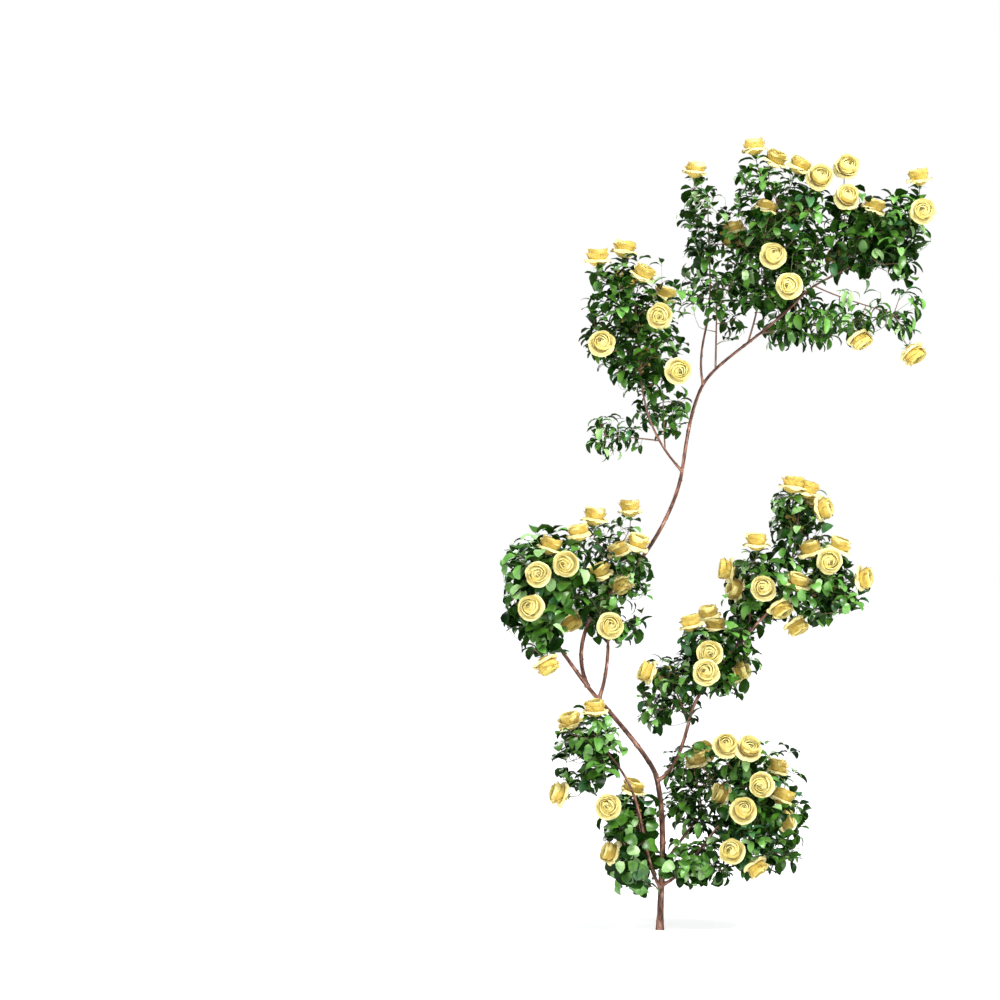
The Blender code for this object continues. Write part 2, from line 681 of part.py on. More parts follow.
def fuse(name, parts, look):
    """The parts of a mass joined into one solid. A stem that leaves the side of its limb is cut GAP clear of it."""
    limb, share, *_ = MASSES[name]
    mass = new_object(name, parts[0], bpy.context.scene.collection, look)
    if share < 1:
        cut_clear(mass, [each for each in LIMBS if limb in (each, LIMBS[each][0])], look)
    grown = new_collection("parts_of_" + name)
    for part in parts[1:]:
        new_object("part_of_" + name, part, grown, look)
    apply_boolean(mass, grown, "UNION")
    mass.data = cut_to_triangles(largest_island(mass.data))
    return mass


def build_mass(name, others, look):
    """A mass of foliage. One that doesn't fuse soundly is grown again with its shoots and leaves dealt out anew."""
    for attempt in range(ATTEMPTS):
        mass = fuse(name, grow(name, others, attempt), look)
        if is_sound(mass.data) or attempt == ATTEMPTS - 1:
            return mass
        print("grown again:", name)
        bpy.data.objects.remove(mass)


def clear_scene():
    for each in list(bpy.data.objects):
        bpy.data.objects.remove(each)


def main():
    clear_scene()
    bark = material("bark", (0.27, 0.13, 0.09), 0.7)
    foliage = material("foliage", (0.05, 0.20, 0.04), 0.45)
    for name in LIMBS:
        build_limb(name, bark)
    limb_trees = [tree_of(*limb_tube(name)) for name in LIMBS]
    stem_trees = {name: tree_of(*stem_tube(name, GUARD)) for name in MASSES}
    done = []
    for name in MASSES:
        stems = [tree for other, tree in stem_trees.items() if other != name]
        mesh = build_mass(name, limb_trees + stems + done, foliage).data
        done.append(tree_of([v.co for v in mesh.vertices], [p.vertices[:] for p in mesh.polygons]))


main()
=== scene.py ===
import math
import random
from collections import namedtuple

import bpy
import numpy as np
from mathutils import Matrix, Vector, kdtree
from mathutils.noise import noise as noise_at


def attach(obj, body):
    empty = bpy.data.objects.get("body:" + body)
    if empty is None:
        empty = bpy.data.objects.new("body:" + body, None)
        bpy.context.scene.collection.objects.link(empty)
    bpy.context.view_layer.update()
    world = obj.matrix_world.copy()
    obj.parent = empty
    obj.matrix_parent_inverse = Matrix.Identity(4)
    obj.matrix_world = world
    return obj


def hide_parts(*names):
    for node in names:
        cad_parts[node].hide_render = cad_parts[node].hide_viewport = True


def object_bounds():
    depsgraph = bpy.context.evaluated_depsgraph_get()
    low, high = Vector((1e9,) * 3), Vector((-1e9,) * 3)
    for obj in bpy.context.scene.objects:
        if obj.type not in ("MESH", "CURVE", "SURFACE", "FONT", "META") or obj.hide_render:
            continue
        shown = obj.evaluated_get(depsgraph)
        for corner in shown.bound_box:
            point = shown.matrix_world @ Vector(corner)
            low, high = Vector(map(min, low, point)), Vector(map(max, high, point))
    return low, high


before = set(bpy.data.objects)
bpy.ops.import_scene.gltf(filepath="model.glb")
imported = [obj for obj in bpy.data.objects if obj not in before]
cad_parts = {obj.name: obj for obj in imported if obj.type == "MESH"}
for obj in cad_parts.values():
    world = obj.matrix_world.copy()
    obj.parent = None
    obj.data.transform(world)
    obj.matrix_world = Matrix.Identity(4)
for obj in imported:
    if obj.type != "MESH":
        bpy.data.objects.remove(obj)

# The looks of a climbing rose with yellow double blooms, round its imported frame.
# Metres, +Z up. The origin is the middle of the flat cut at ground level, and -Y is the front.

cad_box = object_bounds()

TURN = 2 * math.pi
GOLDEN_ANGLE = math.pi * (3 - math.sqrt(5))
UP = Vector((0, 0, 1))

# The source's sizes and counts that this script grows by
GAP = 0.0003
BLOOM_HEIGHT = 0.044
SHOOT_PARTS = 6
STEM_PARTS = 4
TWIG_SIDES = 3
TRIES = 9
ATTEMPTS = 5
FULLNESS = 2.8
ROOT_FLARE = 0.0030
ROOT_FLARE_HEIGHT = 0.035


def metres(values):
    """A table's millimetres as metres."""
    return tuple(metres(v) if isinstance(v, tuple) else round(v / 1000, 6) for v in values)


# Each limb: the limb it leaves, and in millimetres its cubic curve's four points and its radius at each end
LIMBS = {
    "trunk": (None, ((0, 0, 0), (0, 0, 130), (27, 0, 360), (-13, 0, 513)), 11.2, 8.6),
    "bough_leader": ("trunk", ((-13, 0, 513), (-34, 0, 560), (-130, 0, 685), (-214, -5, 779)), 8.2, 7.2),
    "bough_right": ("trunk", ((-11, 0, 498), (45, 5, 515), (78, 15, 610), (103, 10, 717)), 6.6, 5.6),
    "bough_far_right": (
        "bough_right", ((103, 10, 717), (145, 5, 790), (255, -60, 960), (373, -30, 1073)), 5.4, 4.2),
    "bough_far_top": (
        "bough_far_right", ((373, -30, 1073), (415, -20, 1100), (440, 30, 1200), (452, 50, 1285)), 3.8, 3.2),
    "arm_left": (
        "bough_leader", ((-214, -5, 779), (-250, -8, 823), (-305, -35, 900), (-340, -70, 949)), 6.8, 5.8),
    "arm_right": (
        "bough_leader", ((-204, -4, 769), (-180, 0, 830), (-172, 25, 900), (-172, 60, 954)), 6.2, 5.4),
    "cane_lower": (
        "arm_left", ((-241, -7, 811), (-285, 20, 915), (-262, 30, 1030), (-157, 30, 1128)), 6.8, 6.6),
    "cane_middle": (
        "cane_lower", ((-157, 30, 1128), (-60, 30, 1225), (55, 30, 1390), (77, 30, 1542)), 6.6, 6.0),
    "cane_upper": (
        "cane_middle", ((77, 30, 1542), (88, 30, 1630), (105, 30, 1755), (151, 30, 1828)), 6.0, 5.5),
    "bough_column": (
        "cane_middle", ((75, 30, 1530), (50, 20, 1555), (10, -20, 1600), (-22, -50, 1668)), 4.4, 3.6),
    "bough_top_left": (
        "cane_upper", ((146, 30, 1818), (130, 30, 1880), (142, 50, 1950), (158, 90, 2011)), 4.0, 3.6),
    "bough_top_right": (
        "cane_upper", ((151, 30, 1828), (200, 30, 1900), (360, 0, 1990), (473, 0, 2113)), 5.4, 4.0),
    "bough_outer": (
        "bough_top_right", ((473, 0, 2113), (510, 0, 2150), (560, 20, 2170), (605, 40, 2195)), 3.8, 3.2),
    "bough_low_left": (
        "trunk", ((5, 0, 138), (-75, -70, 250), (-30, -110, 420), (-160, -100, 575)), 6.2, 3.8),
    "bough_low_right": ("trunk", ((10, 0, 218), (35, 5, 245), (80, 30, 315), (124, 70, 357)), 5.6, 4.2),
    "bough_low_far_right": (
        "trunk", ((8, 0, 152), (60, -10, 165), (130, -30, 270), (205, -50, 365)), 5.6, 4.0),
}
LIMBS = {name: (parent, metres(curve), *metres(radii)) for name, (parent, curve, *radii) in LIMBS.items()}

# The ways a bloom faces
FRONT = Vector((0, -1, 0.15))
UP_LEFT = Vector((-0.30, -0.12, 1))
UPRIGHT = Vector((0.02, -0.10, 1))
UP_RIGHT = Vector((0.35, -0.12, 1))
FRONT_UP = Vector((0.25, -1, 0.75))
LEFT = Vector((-1, -0.25, 0.25))
RIGHT = Vector((1, -0.30, 0.15))
DOWN = Vector((0.45, -0.30, -0.75))
BACK = Vector((0, 1, 0.25))

# Each mass, in millimetres: the limb that bears it, how far along that limb, its space's middle and reach,
# how many leafy shoots it has, its habit and its blooms. The habit: how thickly it is leaved, its leaves'
# size, their width for their length, how much they turn outwards, how much its twigs rise at their ends, and
# how much painted light its leaves get beyond most, a shift of their looks towards the lit ones. A bloom: its
# place across and up, the way it faces, and how deep it is, if only the looks have it.
MASSES = {
    "crown_left": (
        "bough_top_left", 1, (165, 100, 2305), (100, 165, 225), 7, (0.42, 1.00, 0.56, 0.10, 3.0, 0.0),
        ((120, 2540, UPRIGHT), (250, 2333, BACK), (250, 2343, UP_LEFT, -0.10))),
    "crown_fan": (
        "bough_top_right", 0.18, (190, -10, 2085), (130, 120, 120), 5, (0.33, 0.95, 0.48, 0.10, 1.4, -0.15),
        ()),
    "crown_centre": (
        "bough_top_right", 0.52, (400, -10, 2300), (170, 210, 290), 9, (0.72, 1.00, 0.56, 0.15, 2.4, 0.0),
        ((310, 2620, UPRIGHT), (390, 2577, UP_RIGHT), (463, 2543, UP_RIGHT), (523, 2500, FRONT_UP),
         (367, 2240, FRONT), (420, 2140, FRONT), (360, 2403, BACK), (450, 2250, BACK), (300, 2300, BACK, 0.8),
         (470, 2420, BACK, 0.85), (357, 2408, UP_RIGHT, 0.0))),
    "crown_right": (
        "bough_outer", 1, (730, 50, 2320), (190, 185, 170), 8, (0.82, 1.05, 0.60, 0.25, 1.2, 0.0),
        ((617, 2540, FRONT_UP), (620, 2440, FRONT_UP), (713, 2413, UP_RIGHT), (877, 2520, UPRIGHT),
         (870, 2390, FRONT), (700, 2300, BACK), (800, 2360, BACK, 0.8), (610, 2250, BACK, 0.8))),
    "crown_under": (
        "bough_top_right", 0.62, (465, 40, 2025), (160, 160, 95), 5, (0.60, 1.05, 0.46, 0.20, 0.3, 0.0), ()),
    "crown_low": (
        "bough_outer", 0.35, (715, -40, 2045), (170, 140, 105), 5, (0.44, 1.10, 0.38, 0.10, 0.0, 0.3),
        ((663, 1963, DOWN), (847, 1920, DOWN))),
    "column": (
        "bough_column", 1, (-90, -70, 2020), (170, 170, 235), 9, (0.58, 1.00, 0.56, 0.12, 2.6, -0.05),
        ((-210, 2237, UPRIGHT), (-117, 2270, UPRIGHT), (-57, 2183, UP_RIGHT), (17, 2117, UP_RIGHT),
         (-7, 2040, FRONT), (-197, 1950, FRONT), (53, 1860, FRONT), (-90, 2020, BACK),
         (-120, 2160, BACK, 0.8), (-50, 1900, BACK, 0.85))),
    "column_foot": (
        "bough_column", 0.62, (10, 30, 1745), (95, 110, 110), 4, (0.45, 0.95, 0.50, 0.20, 1.4, -0.1), ()),
    "column_low": (
        "bough_column", 0.80, (-145, -10, 1650), (100, 110, 85), 4, (0.44, 0.95, 0.44, 0.10, 0.1, 0.2), ()),
    "middle_left": (
        "arm_left", 1, (-395, -80, 1135), (155, 180, 215), 8, (0.90, 1.10, 0.66, 0.50, 1.2, 0.1),
        ((-273, 1330, UP_LEFT), (-410, 1190, FRONT), (-317, 1223, FRONT), (-433, 1080, FRONT),
         (-377, 887, DOWN), (-430, 1150, BACK), (-367, 1283, UP_RIGHT), (-297, 1027, DOWN, 0.1),
         (-360, 1050, BACK, 0.85))),
    "middle_right": (
        "arm_right", 1, (-160, 80, 1165), (135, 185, 210), 8, (1.00, 0.95, 0.54, 0.20, 1.4, 0.0),
        ((-217, 1380, UPRIGHT), (-97, 1407, UPRIGHT), (-75, 1290, UP_RIGHT), (-137, 1267, UP_LEFT),
         (-167, 1017, FRONT), (-130, 1170, BACK), (-200, 1193, UP_LEFT, -0.45), (-127, 1150, DOWN, -0.40),
         (-210, 1060, BACK, 0.8))),
    "right_low": (
        "bough_right", 0.97, (35, 60, 780), (110, 140, 130), 5, (0.85, 0.90, 0.60, 0.20, 1.0, -0.1),
        ((-43, 860, LEFT), (30, 830, BACK))),
    "right_mid": (
        "bough_far_right", 0.22, (195, 10, 915), (130, 165, 145), 7, (1.15, 1.00, 0.60, 0.30, 1.2, 0.0),
        ((100, 1027, UP_LEFT), (187, 1015, UPRIGHT), (160, 927, FRONT), (147, 867, FRONT), (250, 870, BACK),
         (273, 865, RIGHT), (165, 1055, UP_LEFT, 0.45))),
    "far_low": (
        "bough_far_right", 0.78, (310, 50, 1135), (110, 150, 135), 5, (1.15, 0.95, 0.60, 0.30, 1.2, 0.0),
        ((320, 1297, UPRIGHT), (225, 1200, LEFT), (340, 1143, FRONT), (255, 1135, LEFT))),
    "far_mid": (
        "bough_far_right", 0.95, (520, -50, 1150), (160, 165, 130), 7, (1.10, 0.95, 0.60, 0.30, 1.2, 0.0),
        ((593, 1283, UP_RIGHT), (553, 1233, FRONT), (673, 1173, RIGHT), (457, 1013, DOWN), (530, 1150, BACK),
         (500, 1270, UP_LEFT), (457, 1165, UP_RIGHT), (400, 1072, DOWN, -0.2), (600, 1120, BACK, 0.8))),
    "far_top": (
        "bough_far_top", 1, (475, 60, 1375), (100, 130, 125), 5, (1.25, 0.90, 0.60, 0.30, 1.2, 0.0),
        ((443, 1487, UPRIGHT), (517, 1433, UP_RIGHT), (545, 1405, RIGHT), (495, 1470, UP_RIGHT, -0.3),
         (460, 1360, BACK, 0.8))),
    "low_left_top": (
        "bough_low_left", 1, (-235, -90, 605), (115, 140, 140), 5, (0.85, 1.00, 0.64, 0.40, 1.2, 0.0),
        ((-220, 747, UPRIGHT), (-300, 700, UP_LEFT), (-340, 463, LEFT))),
    "low_left": (
        "bough_low_left", 0.30, (-80, -60, 315), (115, 150, 185), 8, (0.70, 1.20, 0.78, 0.90, 0.7, 0.35),
        ((-177, 423, FRONT), (-87, 477, UP_RIGHT), (-170, 267, LEFT), (-60, 370, BACK, 0.8))),
    "low_right": (
        "bough_low_right", 1, (115, 80, 475), (100, 150, 155), 6, (1.15, 0.85, 0.60, 0.20, 1.4, -0.1),
        ((150, 580, BACK), (127, 567, UP_LEFT))),
    "low_far_right": (
        "bough_low_far_right", 1, (330, -30, 410), (155, 190, 225), 8, (1.05, 0.95, 0.60, 0.25, 1.4, 0.0),
        ((213, 627, FRONT_UP), (287, 617, FRONT_UP), (327, 497, FRONT), (267, 413, FRONT), (230, 280, FRONT),
         (423, 367, RIGHT), (350, 450, BACK), (390, 545, UP_RIGHT), (317, 217, DOWN), (205, 455, LEFT, 0.0),
         (405, 450, UP_RIGHT, -0.3), (270, 530, BACK, 0.8))),
    "foot": (
        "bough_low_far_right", 0.45, (120, -30, 225), (110, 120, 85), 4, (0.80, 0.95, 0.68, 0.50, 0.5, 0.10),
        ()),
}
Mass = namedtuple(
    "Mass", "name limb share middle reach shoots thickness size broad turned_out rise lighter blooms")
MASSES = {
    key: Mass("foliage_" + key, limb, share, metres(middle), metres(reach), shoots, *habit, blooms)
    for key, (limb, share, middle, reach, shoots, habit, blooms) in MASSES.items()
}

# How the joined pieces take the masses
REGIONS = {
    "crown_left": ("crown_left", "crown_fan", "crown_centre"),
    "crown_right": ("crown_right", "crown_under", "crown_low"),
    "column": ("column", "column_foot", "column_low"),
    "middle": ("middle_left", "middle_right"),
    "right": ("right_low", "right_mid", "far_low", "far_mid", "far_top"),
    "low": ("low_left_top", "low_left", "low_right", "low_far_right", "foot"),
}

# Sprays at places of their own: their leaves' size, how much these turn to the front, and in millimetres
# where they stand
MORE_SPRAYS = {
    "foliage_foot": (1.15, 2.2, ((24, -75, 214), (40, -60, 185), (95, -85, 205))),
    "foliage_middle_right": (0.95, 0.8, ((-165, -10, 1105), (-195, 10, 1080), (-150, 0, 1140))),
    "foliage_low_right": (0.85, 0.8, ((110, -20, 590), (150, -20, 600), (85, 20, 560))),
}

# Limbs that one unbroken skin of bark runs along
CHAINS = (
    ("trunk", "bough_leader", "arm_left"),
    ("cane_lower", "cane_middle", "cane_upper", "bough_top_right", "bough_outer"),
    ("bough_right", "bough_far_right", "bough_far_top"),
    ("arm_right",), ("bough_column",), ("bough_top_left",),
    ("bough_low_left",), ("bough_low_right",), ("bough_low_far_right",),
)
BARK_SIDES = 20
BARK_STEP = 0.0032

# A hooked prickle's rings, for a length of 1: how high each is, half its length and width, and its drop.
# PRICKLE_FOOT is how far out its foot lies, as a share of its limb's radius.
PRICKLE_RINGS = (
    (0, 0.76, 0.42, 0), (0.25, 0.496, 0.28, 0.04), (0.6, 0.24, 0.15, 0.20), (1, 0.032, 0.03, 0.55))
PRICKLE_FOOT = 0.93

# Limbs that no leaf hides from the front, each from this share of its length on
LIMBS_IN_VIEW = {"trunk": 0.55, "bough_low_left": 0.0, "bough_top_right": 0.0}

# Where the photograph shows sky through or beside the masses: each opening's middle, across and up, and its
# radius
SKY = np.array(metres((
    (215, 2505, 34), (205, 2440, 18), (755, 2505, 48), (690, 2490, 26), (935, 2225, 70), (645, 2160, 30),
    (790, 2085, 26), (110, 2010, 36), (735, 2160, 34), (745, 1965, 36), (680, 2080, 16), (560, 2130, 14),
    (175, 1985, 20), (-225, 1800, 60), (-170, 1765, 30), (-510, 940, 50), (-285, 960, 32), (-60, 1090, 18),
    (-115, 1060, 14), (-150, 480, 20), (60, 690, 24), (-290, 560, 20), (600, 1020, 30), (400, 1000, 16),
)))

# Sprays and leaves. The leaves stand in whorls, one above the other along a shoot or a twig.
SPRAYS_PER_AREA = 700
THIN_TOP = 0.65
CLUMP_SIZE = 0.085
CLUMP_LEAST = -0.16
WHORL_SPACING = 0.034
WHORL_LEAVES = 3
TIP_LEAVES = 4
LEAF_LENGTH = 0.054
LEAF_STATIONS = np.array((0.0, 0.10, 0.28, 0.52, 0.76, 0.92, 1.0))
LEAF_OUTLINE = np.array((0.0, 0.48, 0.91, 1.0, 0.72, 0.32, 0.0))
LEAF_THICKNESS = 0.0005
STALK_LENGTH = 0.010
STALK_RADIUS = 0.00065
LEAF_CLEARANCE = 0.002
TWIG_CLEARANCE = 0.003
SPACE_SLACK = 1.12
SPACE_OVERLAP = 0.06
VIEW_SLACK = 0.004
BOX_MARGIN = 0.008
PLACE_TRIES = 16

# The radius of a stem's tip, and those at the foot and the tip of shoots and twigs
STEM_TIP = 0.0017
BLOOM_SHOOT = (0.0019, 0.0014)
LEAFY_SHOOT = (0.0019, 0.0009)
TWIG = (0.0011, 0.0006)

# Petals, from the outer ring inwards, in millimetres: how many, the four points (out, up) of their side view,
# half their width, how much farther out one edge lies than the other, and how ruffled their rim is
PETAL_RINGS = (
    (5, ((3, -4), (25, -7), (42, 40), (47, 11)), 37, 0.8, 2.4),
    (5, ((3, -2), (25, -3), (42, 42), (45, 14)), 35, 1.2, 2.4),
    (4, ((3, 7), (34, 8), (28, 35), (43, 45)), 38, 2.0, 2.6),
    (4, ((2, 8), (34, 12), (29, 45), (34, 57)), 38, 2.5, 2.0),
    (3, ((2, 9), (32, 14), (34, 49), (25, 56)), 39, 3.0, 1.2),
    (3, ((2, 10), (27, 17), (29, 47), (16, 53)), 34, 2.5, 0.8),
    (3, ((1, 11), (19, 20), (23, 45), (8, 50)), 28, 2.0, 0.5),
    (2, ((0, 12), (11, 24), (13, 44), (3, 46)), 19, 1.2, 0.3),
)
HEART_RINGS = 4
PETAL_COLUMNS = 8
INNER_COLUMNS = 5
PETAL_ROWS = 6
PETAL_THICKNESS = 0.0004
PETAL_TOP = 60
BLOOM_REACH = 0.050
BLOOM_RISE = 0.031
BLOOM_SINK = 0.007
BLOOM_LEAN = 0.008
BLOOM_TURN = 0.14
CUP_DEPTH = 0.011

# Leaves keep out of the room over a bloom: how fast it widens, from what radius, up to what radius, and how
# high. They don't hide a bloom's middle from the front: how far round it, if it faces the front, and if not.
ROOM_SLOPE = 1.6
ROOM_FOOT = 0.012
ROOM_RADIUS = 0.046
ROOM_HEIGHT = 0.16
FACE_RADIUS = 0.036
SIDE_RADIUS = 0.022

# The green cup under a bloom, as (radius, up), and one of its five sepals, as (out, up, half its width)
CUP_RINGS = ((1.6, -15), (3.6, -12), (5.2, -8), (5.6, -4), (3.5, -1))
SEPAL = ((4.5, -6, 2.6), (11, -6, 3.0), (17, -8, 1.8), (23, -12, 0.15))
SEPAL_THICKNESS = 0.7

# The photograph's frame is 1000 pixels of 1/300 m wide at the plant
FRAME_WIDTH = 10 / 3
CAMERA_DISTANCE = 16
CAMERA_X = -0.533
CAMERA_Z = 1.433
FLOOR_RADIUS = 60
FLOOR_SIDES = 64


# Curves, as in the source

def bezier(points, t):
    """The point at t on the cubic curve through these four control points."""
    a, b, c, d = (Vector(p) for p in points)
    s = 1 - t
    return a * s ** 3 + b * (3 * s * s * t) + c * (3 * s * t * t) + d * t ** 3


def slope(points, t):
    """The direction at t of the cubic curve."""
    a, b, c, d = (Vector(p) for p in points)
    s = 1 - t
    return ((b - a) * s * s + (c - b) * 2 * s * t + (d - c) * t * t).normalized()


def frames_along(curve, count):
    """Frames at even steps along a cubic curve, each (centre, along, across, beside), that don't twist."""
    across = slope(curve, 0).orthogonal().normalized()
    frames = []
    for i in range(count + 1):
        along = slope(curve, i / count)
        across = (across - along * across.dot(along)).normalized()
        frames.append((bezier(curve, i / count), along, across, along.cross(across)))
    return frames


def round_point(at, angle, radius):
    centre, _, across, beside = at
    return centre + (across * math.cos(angle) + beside * math.sin(angle)) * radius


def taper(start, end, count):
    return [start + (end - start) * i / (count - 1) for i in range(count)]


def limb_curve(name):
    """The curve of a limb. At its parent's tip it starts GAP beyond that, in the parent's direction."""
    parent, curve, *_ = LIMBS[name]
    curve = [Vector(p) for p in curve]
    if parent and (curve[0] - Vector(LIMBS[parent][1][3])).length < GAP:
        ahead = slope(LIMBS[parent][1], 1)
        curve[1] = curve[0] + ahead * (curve[1] - curve[0]).length
        curve[0] += ahead * GAP
    return curve


def on_limb(name, shares):
    """The points and the radii of a limb at these shares of its length."""
    _, _, start, end = LIMBS[name]
    curve = limb_curve(name)
    return np.array([bezier(curve, t) for t in shares]), start + (end - start) * shares


# Arrays

def unit(ways):
    """The same directions, at length 1."""
    return ways / np.linalg.norm(ways, axis=-1, keepdims=True)


def circle(across, beside, sides):
    """The points of a ring, by the two directions that it lies in."""
    angles = np.arange(sides) * TURN / sides
    return across[..., None, :] * np.cos(angles)[:, None] + beside[..., None, :] * np.sin(angles)[:, None]


def distances(points):
    """How far along a line each of its points lies."""
    return np.concatenate([[0], np.cumsum(np.linalg.norm(np.diff(points, axis=0), axis=1))])


def corners(grid):
    """The four corners of each of a grid's cells."""
    return grid[:-1, :-1], grid[:-1, 1:], grid[1:, 1:], grid[1:, :-1]


def hump(away, width):
    return np.exp(-(away / width) ** 2)


# Growth, by the source's rule

def share_out(points, mass):
    """How far out in a mass's space each point lies: 1 on its rim."""
    away = np.abs((points - np.array(mass.middle)) / np.array(mass.reach))
    return (away ** FULLNESS).sum(-1) ** (1 / FULLNESS)


def belongs(points, mass):
    """Which points lie in a mass's own space: within its reach, and nearer to its middle than to others'."""
    own = share_out(points, mass)
    inside = own <= 1
    for other in MASSES.values():
        if other is not mass:
            inside &= own < share_out(points, other) + SPACE_OVERLAP
    return inside


def in_any_space(points):
    """Which points lie in the space of any mass, or just outside it."""
    return np.any([share_out(points, mass) <= SPACE_SLACK for mass in MASSES.values()], axis=0)


def shoot_curve(start, leave, end, arrive):
    """A curve that leaves along one direction and arrives along another."""
    reach = (end - start).length
    return start, start + leave * reach * 0.35, end - arrive * reach * 0.35, end


def stem_curve(mass):
    """The main stem, through the middle of its space, then up, or sideways where the space is low."""
    curve = limb_curve(mass.limb)
    here = bezier(curve, mass.share)
    middle = Vector(mass.middle)
    away = middle - here
    across, _, up = mass.reach
    high = Vector((0, 0, up * 0.50))
    wide = Vector((away.x, 0, 0)).normalized() * across * 0.45
    end = middle + (high if up > across * 0.9 else wide)
    leave = slope(curve, 1) if mass.share == 1 else away.normalized()
    return shoot_curve(here, leave, end, (end - here).normalized())


def leaving_place(stem, target, taken):
    """Where a shoot to the target leaves a stem, and the way it goes: through one of the stem's sides.

    It is a place between two rings that no shoot has taken yet, near the target, and rather below it.
    """
    best = None
    for i, (a, b) in enumerate(zip(stem[1:], stem[2:])):
        for share in (0.2, 0.5, 0.8):
            place = (a[0].lerp(b[0], share), (b[0] - a[0]).normalized(), *a[2:])
            way = target - place[0]
            for side in range(TWIG_SIDES):
                if (i, share, side) in taken:
                    continue
                out = round_point(place, TURN * (side + 0.5) / TWIG_SIDES, 1) - place[0]
                cost = way.length - 0.35 * way.z - 0.08 * way.normalized().dot(out)
                if best is None or cost < best[0]:
                    best = (cost, (i, share, side), place, out)
    _, taking, place, out = best
    ahead = min(max((target - place[0]).normalized().dot(place[1]), -0.3), 1.0)
    return taking, place[0] + out * 0.0004, (out + place[1] * ahead).normalized()


def leafy_targets(mass):
    """Where a mass's leafy shoots end: spread evenly round its middle by the golden angle."""
    rng = random.Random(f"targets {mass.name} 0")
    turn = rng.uniform(0, TURN)
    for i in range(mass.shoots):
        z = 1 - 2 * (i + 0.5) / mass.shoots
        flat = math.sqrt(1 - z * z)
        size = rng.uniform(0.64, 0.78)
        tries = []
        for extra in range(TRIES):
            angle = turn + i * GOLDEN_ANGLE + extra * 0.5
            out = (flat * math.cos(angle), flat * math.sin(angle), z)
            full = size / sum(abs(o) ** FULLNESS for o in out) ** (1 / FULLNESS)
            tries.append(Vector([m + o * r * full for m, o, r in zip(mass.middle, out, mass.reach)]))
        yield tries


def turned(middle, axis, rng):
    """A bloom's seat and axis, turned a little about its middle, well inside the frame's box."""
    new = (axis + Vector([rng.uniform(-BLOOM_TURN, BLOOM_TURN) for _ in range(3)])).normalized()
    aslant = np.sqrt(1 - np.array(new) ** 2)
    room = np.maximum(aslant * BLOOM_REACH, aslant * BLOOM_REACH * 0.8 + np.abs(new) * BLOOM_RISE)
    low, high = (np.array(corner) for corner in cad_box)
    return Vector(np.clip(middle, low + room, high - room)) - new * BLOOM_HEIGHT * 0.5, new


def bloom_seats(mass):
    """Where a mass's blooms sit and face: of the places the rule tries, the one that the frame has."""
    rng = random.Random("turn " + mass.name)
    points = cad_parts[mass.name].data.vertices
    tree = kdtree.KDTree(len(points))
    for i, vertex in enumerate(points):
        tree.insert(vertex.co, i)
    tree.balance()
    _, y, _ = mass.middle
    _, reach, _ = mass.reach
    for i, (x, z, facing, *only_looks) in enumerate(mass.blooms):
        x, z = metres((x, z))
        axis = facing.normalized()
        if only_looks:
            yield turned(Vector((x, y + only_looks[0] * reach, z)), axis, rng)
            continue
        deep = axis.y * 0.85 if abs(axis.y) > 0.5 else -0.35 * (-1) ** i
        for extra in range(ATTEMPTS + TRIES):
            shift = (extra + 1) // 2 * (-1) ** extra * 0.16
            centre = Vector((x, y + (deep + shift) * reach, z))
            if tree.find(centre + axis * BLOOM_HEIGHT * 0.25)[2] < 0.0004:
                yield turned(centre, axis, rng)
                break
        else:
            print("no solid found for the bloom of", mass.name, (x, z))


# Meshes from arrays

def add_object(name, data):
    made = bpy.data.objects.new(name, data)
    bpy.context.scene.collection.objects.link(made)
    return made


class Parts:
    """Points and faces that are gathered, then made into one mesh. Each face has the number of its look."""

    def __init__(self):
        self.batches = []
        self.count = 0

    def add(self, points, faces, look, places=None):
        """Adds points (n, 3) and faces (m, k), of one look or (m,), with (m, k, 2) UVs at their corners."""
        points = np.asarray(points, np.float32).reshape(-1, 3)
        faces = np.asarray(faces, np.int32)
        look = np.broadcast_to(np.asarray(look, np.int32), len(faces))
        places = np.zeros(faces.size * 2) if places is None else places.ravel()
        sizes = np.full(len(faces), faces.shape[1], np.int32)
        self.batches.append((points.ravel(), (faces + self.count).ravel(), sizes, look, places))
        self.count += len(points)

    def make(self, name, looks, sharp=None):
        """The mesh object, riding on the root."""
        mesh = bpy.data.meshes.new(name)
        points, loops, sizes, numbers, places = (np.concatenate(each) for each in zip(*self.batches))
        mesh.vertices.add(self.count)
        mesh.vertices.foreach_set("co", points)
        mesh.loops.add(len(loops))
        mesh.loops.foreach_set("vertex_index", loops)
        mesh.polygons.add(len(sizes))
        mesh.polygons.foreach_set("loop_start", np.cumsum(sizes) - sizes)
        mesh.polygons.foreach_set("material_index", numbers)
        mesh.uv_layers.new(name="along")
        mesh.uv_layers[0].uv.foreach_set("vector", places.astype(np.float32))
        mesh.update(calc_edges=True)
        mesh.validate()
        for look in looks:
            mesh.materials.append(look)
        mesh.shade_smooth()
        if sharp:
            mesh.set_sharp_from_angle(angle=math.radians(sharp))
        made = add_object(name, mesh)
        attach(made, "root")
        print(f"{name}: {int((sizes - 2).sum())} triangles")
        return made


def rings_to_tube(parts, rings, look):
    """Adds a closed tube through rings of points, (count, sides, 3)."""
    count, sides, _ = rings.shape
    number = np.arange(count * sides).reshape(count, sides)
    walls = np.stack(corners(np.hstack([number, number[:, :1]])), -1)
    places = np.stack(np.meshgrid(np.arange(sides + 1) / sides, distances(rings.mean(1))), -1)
    parts.add(rings, walls.reshape(-1, 4), look, np.stack(corners(places), 2))
    parts.add(rings[0], [list(range(sides))[::-1]], look)
    parts.add(rings[-1], [list(range(sides))], look)


